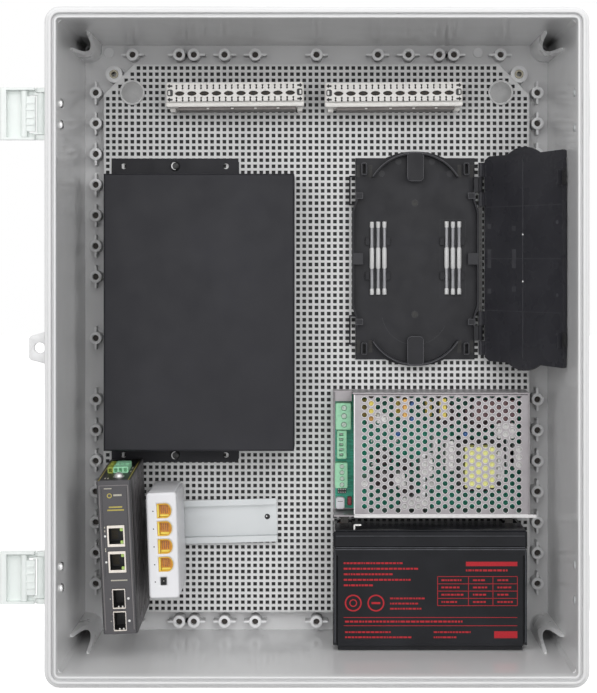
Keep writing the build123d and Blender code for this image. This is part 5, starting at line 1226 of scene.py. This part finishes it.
def build_switch_marks(place):
    """Short generic lines, a plain ring and the lamps on the front."""
    piece = Piece(place)
    y0, y1 = SWITCH_FRONT - 0.08, SWITCH_FRONT + 0.1

    def line(x_mid, z, width, height, finish):
        piece.box(about(x_mid, width / 2), (y0, y1), about(z, height / 2), finish)

    def lamp(x, z, inner, outer):
        dome = turned_mesh([(0, -0.5), (inner, -0.4), (outer, 0.1), (0, 0.1)], 14)
        piece.add(dome, "led", (x, SWITCH_FRONT, z))

    line(-4.6, 53.2, 5.8, 0.7, "pale_print")
    piece.add(sheet_mesh(circle(-3.6, 47.7, 1.9, 20), [circle(-3.6, 47.7, 1.2, 20)], y0, 0.2), "gold_print")
    line(2.6, 48.0, 6.3, 1.4, "pale_print")
    line(0.7, 38.9, 10.2, 1.1, "gold_print")
    line(0.7, 36.6, 12.6, 1.1, "gold_print")
    line(0.8, -17.6, 12.6, 0.9, "pale_print")
    for z in (20.6, 23.4, 6.8, 5.2):
        line(-8.4, z, 0.8, 1.2, "pale_print")
    for z in SWITCH_JACK_Z:
        lamp(-8.3, z, 0.7, 0.95)
    for z in SWITCH_CAGE_Z:
        lamp(7.2, z, 0.75, 1.05)
        line(-6.6, z, 0.7, 1.0, "pale_print")
    piece.done("switch_marks", "switch_paint")


def build_switch_top(place):
    """Lines on the top face, and the terminal block that stands on it."""
    front, top = SWITCH_FRONT, SWITCH_TOP
    piece = Piece(place)
    piece.box((-12.4, 12.4), (front + 3.2, -3.0), (top - 0.2, top + 0.06), "black")
    piece.box((12.9, 13.12), (front + 3.2, front + 9.5), (-57.0, 58.0), "black")
    for x in (-11.4, 11.2):
        piece.box(about(x, 0.35), (front + 1.2, -14), (top - 0.1, top + 0.14), "gold_print")
    for x, y, w in ((-7.4, front + 9, 1.2), (-5.2, front + 9, 0.9), (9.2, -40, 1.2), (9.2, -54, 1.2)):
        piece.box(about(x, w / 2), about(y, 2.4), (top - 0.1, top + 0.12), "pale_print")
    piece.done("switch_top_marks", "switch_paint")
    piece = Piece(place)
    for x0, x1, count, finish in ((-8.0, -3.6, 1, "olive"), (-3.6, 8.0, 3, "terminal")):
        form = box_mesh((x0, x1), (-60, -34), (top, top + 5.0), 0.5)
        for n in range(count):
            x = (x0 + x1) / 2 + (n - (count - 1) / 2) * 3.7
            form = carved_mesh(form, box_mesh(about(x, 1.2), (-62, -56), (top + 1.2, top + 4.0), 0.2))
            form = carved_mesh(form, box_mesh(about(x, 1.1), (-50, -46), (top + 3.4, top + 6)))
        piece.add(form, finish)
    for n in range(4):
        piece.box(about(-5.8 + n * 3.8, 1.0), (-49.6, -46.4), (top + 2.9, top + 3.6), "can_top", 0.2)
    piece.done("switch_block", "green_plastic", replaces=("switch_terminal",))


def build_switch_earth(place):
    """Domed earth screw with a slot, in a raised ring."""
    piece = Piece(place)
    upward = Matrix.Rotation(radians(-90), 4, "X")
    seat = (2.5, -74.0, SWITCH_TOP)
    dome = [(0, -3.5), (1.6, -3.35), (2.8, -2.6), (3.4, -1.6), (3.6, -0.6), (3.6, 0),
            (2.0, 0), (2.0, 4), (0, 4)]
    cap = carved_mesh(turned_mesh(dome, 32), box_mesh((-1.9, 1.9), (-4, -2.9), (-0.3, 0.3)))
    ring = turned_mesh([(4.4, 0), (4.4, -0.7), (3.0, -0.7), (3.0, 0)], 32)
    for mesh in (cap, ring):
        mesh.transform(upward)
        piece.add(mesh, "tab", seat)
    piece.done("earth_screw", "bright_screw", replaces=("switch_earth_screw",))


def jack_mouth(x, z, width, height):
    """A jack's outline: square on the left, rounded on the right."""
    left, straight = x - width / 2, x + width * 0.12
    loop = [(left, z + height / 2), (left, z - height / 2), (straight, z - height / 2)]
    for n in range(1, 8):
        angle = -pi / 2 + pi * n / 8
        loop.append((straight + width * 0.38 * cos(angle), z + height / 2 * sin(angle)))
    loop.append((straight, z + height / 2))
    return loop


def build_hub():
    """Glossy white terminal with four amber jacks and a black socket."""
    place = turn_place(*HUB)
    front = HUB_FRONT
    jack_x, socket_x, socket_z = 1.9, -0.3, -27.4
    jack_z = [26.6 - n * 13.65 for n in range(4)]
    piece = Piece(place)
    piece.box((-11.8, 11.8), (front + 8.0, 0), (-40.75, 40.75), "hub", 2.2, 4)
    piece.done("hub_housing", "hub_plastic", replaces=("hub_body",))
    piece = Piece(place)
    mouths = [jack_mouth(jack_x, z, 11.0, 11.0) for z in jack_z]
    mouths.append(rounded(socket_x, socket_z, 4.4, 5.8, 0.3, 2))
    piece.add(sheet_mesh(rounded(0, 0, 23.2, 81.2, 2.6), mouths, front, 12.0, 1.3), "hub")
    piece.done("hub_face", "hub_plastic", replaces=("hub_front",), angle=50)
    piece = Piece(place)
    for z in jack_z:
        outer, inner = jack_mouth(jack_x, z, 10.9, 10.9), jack_mouth(jack_x + 0.1, z, 9.7, 9.8)
        piece.add(sheet_mesh(outer, [inner], front + 0.25, 13.0, 0.15), "amber")
        piece.add(sheet_mesh(outer, [], front + 5.2, 8.0), "amber_deep")
        piece.box((jack_x - 5.2, jack_x - 4.0), (front + 0.2, front + 5.4), about(z, 4.8), "yellow", 0.2)
        piece.box((jack_x - 3.6, jack_x + 3.4), (front + 3.4, front + 5.6), (z - 4.7, z - 3.1), "yellow", 0.3)
        for n in range(4):
            contact_x = jack_x - 2.4 + n * 1.5
            piece.box(about(contact_x, 0.25), (front + 4.0, front + 5.4), (z - 2.4, z + 3.6), "copper", 0.1)
    piece.done("amber_jacks", "yellow_plastic", replaces=("hub_jacks",))
    piece = Piece(place)
    outer = rounded(socket_x, socket_z, 4.3, 5.7, 0.3, 2)
    inner = rounded(socket_x, socket_z, 2.8, 4.2, 0.3, 2)
    piece.add(sheet_mesh(outer, [inner], front + 0.3, 4.0, 0.15), "black")
    piece.add(sheet_mesh(outer, [], front + 4.0, 1.6), "black")
    piece.box(about(socket_x, 0.3), (front + 1.6, front + 4.4), about(socket_z, 0.3), "tab", 0.1)
    piece.done("power_socket", "black_plastic", replaces=("hub_socket",))
    piece = Piece(place)
    for z in jack_z + [-27.6]:
        dot = turned_mesh([(0, -0.08), (0.5, -0.05), (0.55, 0.1), (0, 0.1)], 12)
        piece.add(dot, "dark", (-6.6, front, z))
    piece.done("hub_marks", "hub_plastic")


# Splice tray

TRAY_X, TRAY_Z = 80.0, 64.7
TRAY_FLOOR, TRAY_TOP = PLATE_Y - 2.0, PLATE_Y - 11.0
LID_HINGE = (132.5, -29.0, TRAY_Z)
LID_OPEN_ANGLE = 121.5


def build_sleeves():
    """Splice protectors with white ends and middles and thin clear runs between."""
    piece = Piece()
    y, z = TRAY_FLOOR - 0.2 - 1.7, 64.9
    half = 29.6
    thin, wide, middle = 1.4, 1.7, 1.85
    profile = [(0, -half), (wide - 0.15, -half), (wide, -half + 0.5), (wide, -half + 4.0),
               (thin, -half + 5.0), (thin, -8.6), (middle, -7.4), (middle, 7.4), (thin, 8.6),
               (thin, half - 5.0), (wide, half - 4.0), (wide, half - 0.5), (wide - 0.15, half), (0, half)]
    runs = ((0, 5, "sleeve"), (4, 6, "sleeve_clear"), (5, 9, "sleeve"),
            (8, 10, "sleeve_clear"), (9, 14, "sleeve"))
    upright = Matrix.Rotation(radians(90), 4, "X")
    rng = random.Random(5)
    for centre in (-29.95, 30.75):
        for n in (-1, 0, 1):
            shift = rng.uniform(-0.6, 0.6)
            at = Matrix.Translation((TRAY_X + centre + n * 5.1, y, z + shift)) @ upright
            for low, high, finish in runs:
                piece.add(turned_mesh(profile[low:high], 16), finish, at)
    piece.done("splice_protectors", "sleeve", replaces=("splice_sleeves",))


def arc_loop(x, z, radius, thick, start, end, steps=18):
    """A flat band along an arc, angles in degrees."""
    angles = [radians(start + (end - start) * n / steps) for n in range(steps + 1)]
    outer = [(x + (radius + thick / 2) * cos(a), z + (radius + thick / 2) * sin(a)) for a in angles]
    inner = [(x + (radius - thick / 2) * cos(a), z + (radius - thick / 2) * sin(a)) for a in angles]
    return outer + inner[::-1]


def build_tray_trims():
    """Beads of painted highlight on the tray's ribs, painted shade in its openings, side hooks and moulded
    marks.
    """
    piece = Piece()
    floor, top = TRAY_FLOOR, TRAY_TOP

    def outline(loop, hole, y, finish):
        piece.add(sheet_mesh(loop, [hole], y - 0.12, 0.3), finish)

    def bead(x, z, outer, inner, y, finish):
        outline(rounded(x, z, *outer), rounded(x, z, *inner), y, finish)

    for s in (1, -1):
        # Beads on the ribs, fingers and tabs are painted highlight.
        band = arc_loop(TRAY_X, TRAY_Z + s * 45.2, 40.7, 0.45, 32 * s, 148 * s)
        piece.add(sheet_mesh(band, [], top - 0.1, 0.3), "tray_painted_highlight")
        bead(TRAY_X, TRAY_Z + s * 74.6, (13.2, 23.8, 3.4), (12.4, 23.0, 3.0), top, "tray_painted_highlight")
        bore_z = TRAY_Z + s * 45.3
        outline(circle(TRAY_X, bore_z, 2.9), circle(TRAY_X, bore_z, 2.5), floor, "tray_faint")
        # Each bore is filled by a disc of painted shade.
        piece.add(turned_placed([(2.5, 0.25), (2.5, -0.06), (0, -0.06)], (TRAY_X, floor, bore_z)), "dark")
        for side in (-1, 1):
            x, z = TRAY_X + side * 41.4, TRAY_Z + s * 72.8
            bead(x, z, (4.6, 10.0, 1.2, 2), (4.0, 9.4, 1.0, 2), top + 2, "tray_painted_highlight")
            # The openings beside each finger are filled with painted shade.
            for off, width in ((-side * 5.2, 3.2), (side * 4.6, 2.8)):
                piece.box(about(x + off, width / 2), about(floor, 0.1), about(z - s * 1.5, 5.0), "dark")
            tab_x, tab_z = TRAY_X + side * 45.4, TRAY_Z + s * 51
            bead(tab_x, tab_z, (5.8, 4.8, 0.4, 2), (5.0, 4.0, 0.3, 2), top, "tray_painted_highlight")
        hook = TRAY_Z + 55.3 if s > 0 else TRAY_Z - 57.7
        piece.box((26.4, 27.6), (floor - 6, floor - 1), about(hook, 12), "tray", 0.3)
        for end in (-11.4, 11.4):
            piece.box((26.8, 32.4), (floor - 6, floor - 1), about(hook + end, 0.6), "tray", 0.3)
    for x, z in ((-13.4, 79.0), (13.8, 79.0), (28.4, 69.2), (-27.0, 69.2)):
        patch = turned_placed([(2.6, 0.2), (2.6, -0.05), (0, -0.05)], (TRAY_X + x, floor, TRAY_Z + z))
        piece.add(patch, "tray_faint")
    for side in (-1, 1):
        tab = TRAY_X + side * 46.7
        piece.box(about(tab, 4.2), (top - 0.12, top + 0.2), about(TRAY_Z, 4.6), "tray_faint", 0.1)
    bead(TRAY_X + 30.75, TRAY_Z, (21.0, 64.0, 0.8, 2), (20.5, 63.5, 0.6, 2), floor + 0.08, "tray_faint")
    band = arc_loop(TRAY_X, TRAY_Z - 43.0, 27.0, 0.5, 190, 335)
    piece.add(sheet_mesh(band, [], floor - 0.06, 0.2), "tray_faint")
    piece.box((130.9, 134.2), (PLATE_Y - 8.5, PLATE_Y - 6.0), about(TRAY_Z, 47.0), "black", 0.4)
    # Along the hinge strip, near-black marks alternate with marks of painted highlight.
    for n in range(31):
        z = TRAY_Z - 45.0 + n * 3.0
        piece.box((132.3, 133.3), (PLATE_Y - 8.9, PLATE_Y - 8.3), about(z, 0.8), "dark", 0.1)
        piece.box((130.9, 131.5), (PLATE_Y - 8.8, PLATE_Y - 8.3), (z + 0.9, z + 1.9), "tray_painted_highlight", 0.1)
    piece.done("tray_trims", "black_plastic")


def build_lid_trims():
    """Fold line with two rivets, faint panel lines, patches and clip ends on the lid's inside."""
    place = Matrix.Translation(LID_HINGE) @ Matrix.Rotation(radians(LID_OPEN_ANGLE), 4, "Z")
    piece = Piece(place)
    inside = -2.1
    fold = -52.5
    piece.box(about(fold, 0.45), (inside, inside + 0.5), (-78.0, 78.0), "lid_line", 0.15)
    rivet = turned_mesh([(0, 0.6), (0.7, 0.5), (1.0, 0.0), (0, 0.0)], 14)
    for z in (19.1, -17.8):
        piece.add(rivet, "bright", (fold, inside + 0.35, z), keep=True)
    for z in (41.5, 0.0, -41.5):
        for x0, x1 in ((-99.0, fold - 1.0), (fold + 1.0, -5.0)):
            piece.box((x0, x1), (inside - 0.1, inside + 0.06), about(z, 0.25), "lid_faint")
    for x, z, height in ((-9.0, 0.0, 15.0), (-41.0, 0.0, 15.0), (-9.0, 26.0, 4.0), (-9.0, -26.0, 4.0),
                         (-41.0, 24.0, 4.0), (-41.0, -24.0, 4.0)):
        piece.box(about(x, 2.4), about(inside, 0.1), about(z, height / 2), "lid_faint", 0.05)
    stud = turned_mesh([(1.5, 0.0), (1.5, 0.25), (1.1, 0.25), (1.1, 0.05), (0, 0.05)], 16)
    for z in (-58.0, -28.0, 28.0, 58.0):
        piece.add(stud, "lid_line", (-95.0, inside, z), keep=True)
    for z in (-62.0, 62.0):
        piece.box((-106.2, -103.6), (inside + 0.2, inside + 2.6), about(z, 5.4), "black", 0.5)
        piece.box((-105.2, -104.5), (inside - 0.1, inside + 0.8), about(z, 2.6), "lid_line", 0.2)
    piece.done("lid_trims", "black_plastic", body="splice_lid")


# Stage, camera and light

GROUND_Z = -0.2502
GROUND_GLOW = 0.86


def build_stage():
    """Plain pale floor under the enclosure."""
    form = bmesh.new()
    bmesh.ops.create_grid(form, x_segments=1, y_segments=1, size=6.0)
    mesh = bpy.data.meshes.new("floor")
    form.to_mesh(mesh)
    form.free()
    floor = bpy.data.objects.new("floor", mesh)
    floor.location = (0, 0, GROUND_Z)
    bpy.context.scene.collection.objects.link(floor)
    surface = bpy.data.materials.new("pale_floor")
    surface.use_nodes = True
    nodes, links = surface.node_tree.nodes, surface.node_tree.links
    nodes.clear()
    output = nodes.new("ShaderNodeOutputMaterial")
    diffuse = nodes.new("ShaderNodeBsdfDiffuse")
    diffuse.inputs["Color"].default_value = (0.35, 0.35, 0.35, 1)
    glow = nodes.new("ShaderNodeEmission")
    path = nodes.new("ShaderNodeLightPath")
    seen = nodes.new("ShaderNodeMath")
    seen.operation = "MAXIMUM"
    links.new(path.outputs["Is Camera Ray"], seen.inputs[0])
    links.new(path.outputs["Is Glossy Ray"], seen.inputs[1])
    share = nodes.new("ShaderNodeMath")
    share.operation = "MULTIPLY"
    share.inputs[1].default_value = GROUND_GLOW
    links.new(seen.outputs[0], share.inputs[0])
    links.new(share.outputs[0], glow.inputs["Strength"])
    both = nodes.new("ShaderNodeAddShader")
    links.new(diffuse.outputs[0], both.inputs[0])
    links.new(glow.outputs[0], both.inputs[1])
    links.new(both.outputs[0], output.inputs[0])
    mesh.materials.append(surface)


def build_world(level):
    """Even studio light, with a white ground behind."""
    world = bpy.data.worlds.new("studio")
    bpy.context.scene.world = world
    world.use_nodes = True
    nodes, links = world.node_tree.nodes, world.node_tree.links
    nodes.clear()
    output = nodes.new("ShaderNodeOutputWorld")
    path = nodes.new("ShaderNodeLightPath")
    light = nodes.new("ShaderNodeBackground")
    light.inputs["Color"].default_value = (1, 1, 1, 1)
    light.inputs["Strength"].default_value = level
    white = nodes.new("ShaderNodeBackground")
    white.inputs["Color"].default_value = (1, 1, 1, 1)
    white.inputs["Strength"].default_value = 1.0
    seen = nodes.new("ShaderNodeMath")
    seen.operation = "MAXIMUM"
    links.new(path.outputs["Is Camera Ray"], seen.inputs[0])
    links.new(path.outputs["Is Transmission Ray"], seen.inputs[1])
    mix = nodes.new("ShaderNodeMixShader")
    links.new(seen.outputs[0], mix.inputs[0])
    links.new(light.outputs[0], mix.inputs[1])
    links.new(white.outputs[0], mix.inputs[2])
    links.new(mix.outputs[0], output.inputs[0])


def soft_box(name, at, aim, size, power):
    """A large square lamp."""
    lamp = bpy.data.lights.new(name, "AREA")
    lamp.shape = "RECTANGLE"
    lamp.size, lamp.size_y = size
    lamp.energy = power
    item = bpy.data.objects.new(name, lamp)
    item.location = at
    item.rotation_euler = (Vector(aim) - Vector(at)).to_track_quat("-Z", "Y").to_euler()
    bpy.context.scene.collection.objects.link(item)


def build_camera():
    """The photograph's camera: square on to the back wall, above the middle."""
    lens = bpy.data.cameras.new("camera")
    lens.lens = 95.67
    lens.sensor_width = 36.0
    lens.shift_x = -0.0195
    lens.shift_y = -0.127
    lens.clip_end = 50
    view = bpy.data.objects.new("camera", lens)
    view.location = (-0.00366, -1.5172, 0.0649)
    view.rotation_euler = (radians(90), 0, 0)
    bpy.context.scene.collection.objects.link(view)
    bpy.context.scene.camera = view


# Settings


class EnclosureSettings(bpy.types.PropertyGroup):
    """Sizes and colours of the enclosure that a user would change."""

    body_colour: bpy.props.FloatVectorProperty(
        name="Body colour", description="Colour of the moulded body", subtype="COLOR", size=3,
        min=0, max=1, default=(0.76, 0.76, 0.765))
    plate_colour: bpy.props.FloatVectorProperty(
        name="Plate colour", description="Colour of the perforated plate", subtype="COLOR", size=3,
        min=0, max=1, default=(0.8, 0.8, 0.8))
    latch_colour: bpy.props.FloatVectorProperty(
        name="Latch colour", description="Colour of latches and hinges", subtype="COLOR", size=3,
        min=0, max=1, default=(0.86, 0.9, 0.88))
    box_colour: bpy.props.FloatVectorProperty(
        name="Box colour", description="Colour of the sheet-metal box", subtype="COLOR", size=3,
        min=0, max=1, default=(0.0235, 0.0235, 0.028))
    grid_pitch: bpy.props.FloatProperty(
        name="Grid pitch", description="Distance between the plate's holes", unit="LENGTH", default=0.005)
    grid_hole: bpy.props.FloatProperty(
        name="Grid hole", description="Side of the plate's square holes", unit="LENGTH", default=0.003)


class StudioSettings(bpy.types.PropertyGroup):
    """Strength of the studio light."""

    ambient: bpy.props.FloatProperty(
        name="Ambient", description="Strength of the even light", default=0.96, min=0)
    key: bpy.props.FloatProperty(
        name="Key lamp", description="Power of the large front lamp", unit="POWER", default=42.0, min=0)
    fill: bpy.props.FloatProperty(
        name="Fill lamp", description="Power of the low front lamp", unit="POWER", default=26.0, min=0)
    back: bpy.props.FloatProperty(
        name="Back lamp", description="Power of the lamp behind the enclosure", unit="POWER",
        default=30.0, min=0)


# Operators


class ENCLOSURE_OT_surfaces(bpy.types.Operator):
    """Make every surface"""
    bl_idname = "enclosure.surfaces"
    bl_label = "Surfaces"

    def execute(self, context):
        make_finishes(context.scene.enclosure)
        return {"FINISHED"}


class ENCLOSURE_OT_body(bpy.types.Operator):
    """Moulded body with its rim, posts, bosses and corner channels"""
    bl_idname = "enclosure.body"
    bl_label = "Body"

    def execute(self, context):
        build_rim()
        build_bosses()
        build_posts()
        build_hole_shade_discs()
        dress("enclosure_base", "body")
        # The corner channels take a lighter copy of the body moulding: painted light.
        dress("corner_channels", "channel_painted_light")
        dress("post_inserts", "brass")
        return {"FINISHED"}


class ENCLOSURE_OT_plate(bpy.types.Operator):
    """Perforated plate and its fixings"""
    bl_idname = "enclosure.plate"
    bl_label = "Mounting plate"

    def execute(self, context):
        build_plate(context.scene.enclosure)
        build_fixings()
        return {"FINISHED"}


class ENCLOSURE_OT_latches(bpy.types.Operator):
    """Latches on the left and hinge leaves on the right"""
    bl_idname = "enclosure.latches"
    bl_label = "Latches and hinges"

    def execute(self, context):
        for node in ("latch_brackets", "latch_lever_top", "latch_lever_bottom", "latch_claw_top",
                     "latch_claw_bottom", "hinge_leaves"):
            dress(node, "latch")
        dress("latch_pins", "pin")
        dress("hinge_pins", "pin")
        return {"FINISHED"}


class ENCLOSURE_OT_screws(bpy.types.Operator):
    """Bright screws of the walls, the box and the rail"""
    bl_idname = "enclosure.screws"
    bl_label = "Screws"

    def execute(self, context):
        build_screws()
        return {"FINISHED"}


class ENCLOSURE_OT_strips(bpy.types.Operator):
    """Contact strips at the top"""
    bl_idname = "enclosure.strips"
    bl_label = "Contact strips"

    def execute(self, context):
        build_strips()
        return {"FINISHED"}


class ENCLOSURE_OT_box(bpy.types.Operator):
    """Black sheet-metal box"""
    bl_idname = "enclosure.box"
    bl_label = "Black box"

    def execute(self, context):
        dress("box_cover", "box")
        dress("box_base", "box")
        return {"FINISHED"}


class ENCLOSURE_OT_tray(bpy.types.Operator):
    """Splice tray with its lid and protectors"""
    bl_idname = "enclosure.tray"
    bl_label = "Splice tray"

    def execute(self, context):
        dress("splice_tray", "tray")
        dress("splice_lid", "lid")
        build_sleeves()
        build_tray_trims()
        build_lid_trims()
        return {"FINISHED"}


class ENCLOSURE_OT_supply(bpy.types.Operator):
    """Power supply with its board"""
    bl_idname = "enclosure.supply"
    bl_label = "Power supply"

    def execute(self, context):
        build_supply_cover()
        build_supply_terminals()
        build_supply_inside()
        dress("supply_chassis", "zinc")
        dress("supply_board", "board")
        dress("supply_core", "ferrite")
        dress("supply_heat_sinks", "fin")
        dress("supply_fuse", "fuse")
        return {"FINISHED"}


class ENCLOSURE_OT_battery(bpy.types.Operator):
    """Battery with generic print"""
    bl_idname = "enclosure.battery"
    bl_label = "Battery"

    def execute(self, context):
        build_battery()
        build_print()
        dress("battery_tabs", "dull_tab")
        return {"FINISHED"}


class ENCLOSURE_OT_rail(bpy.types.Operator):
    """Mounting rail and its clips"""
    bl_idname = "enclosure.rail"
    bl_label = "Rail"

    def execute(self, context):
        dress("mounting_rail", "rail")
        dress("switch_clip", "clip")
        dress("hub_clip", "clip")
        return {"FINISHED"}


class ENCLOSURE_OT_switch(bpy.types.Operator):
    """Dark network switch"""
    bl_idname = "enclosure.switch"
    bl_label = "Switch"

    def execute(self, context):
        dress("switch_body", "switch_side")
        build_switch()
        return {"FINISHED"}


class ENCLOSURE_OT_hub(bpy.types.Operator):
    """White four-port terminal"""
    bl_idname = "enclosure.hub"
    bl_label = "White terminal"

    def execute(self, context):
        build_hub()
        return {"FINISHED"}


class ENCLOSURE_OT_stage(bpy.types.Operator):
    """Floor, light and camera"""
    bl_idname = "enclosure.stage"
    bl_label = "Stage"

    def execute(self, context):
        studio = context.scene.studio
        build_stage()
        build_world(studio.ambient)
        soft_box("key", (0.1, -3.0, 0.9), (0, 0, 0), (4.0, 2.0), studio.key)
        soft_box("fill", (0.5, -1.8, -2.0), (0, 0, 0.1), (2.6, 1.2), studio.fill)
        soft_box("back", (0.8, 2.8, 1.4), (0, 0, 0), (2.0, 2.0), studio.back)
        build_camera()
        context.scene.view_settings.view_transform = "Standard"
        return {"FINISHED"}


class ENCLOSURE_PT_pieces(bpy.types.Panel):
    """Lists the enclosure's pieces and settings"""
    bl_idname = "ENCLOSURE_PT_pieces"
    bl_label = "Enclosure"
    bl_space_type = "VIEW_3D"
    bl_region_type = "UI"
    bl_category = "Enclosure"

    def draw(self, context):
        for settings in (context.scene.enclosure, context.scene.studio):
            for name in settings.__annotations__:
                self.layout.prop(settings, name)
        for operator in OPERATORS:
            self.layout.operator(operator.bl_idname)


OPERATORS = (
    ENCLOSURE_OT_stage, ENCLOSURE_OT_surfaces, ENCLOSURE_OT_body, ENCLOSURE_OT_plate, ENCLOSURE_OT_latches,
    ENCLOSURE_OT_screws, ENCLOSURE_OT_strips, ENCLOSURE_OT_box, ENCLOSURE_OT_tray, ENCLOSURE_OT_supply,
    ENCLOSURE_OT_battery, ENCLOSURE_OT_rail, ENCLOSURE_OT_switch, ENCLOSURE_OT_hub,
)
CLASSES = (EnclosureSettings, StudioSettings) + OPERATORS + (ENCLOSURE_PT_pieces,)


def register():
    for item in CLASSES:
        bpy.utils.register_class(item)
    bpy.types.Scene.enclosure = bpy.props.PointerProperty(type=EnclosureSettings)
    bpy.types.Scene.studio = bpy.props.PointerProperty(type=StudioSettings)


def unregister():
    del bpy.types.Scene.studio
    del bpy.types.Scene.enclosure
    for item in reversed(CLASSES):
        bpy.utils.unregister_class(item)


def corners(bounds):
    """A box's corners as plain lists."""
    return [[float(value) for value in corner] for corner in bounds]


def main():
    register()
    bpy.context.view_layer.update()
    for operator in OPERATORS:
        group, name = operator.bl_idname.split(".")
        getattr(getattr(bpy.ops, group), name)()


if __name__ == "__main__":
    main()
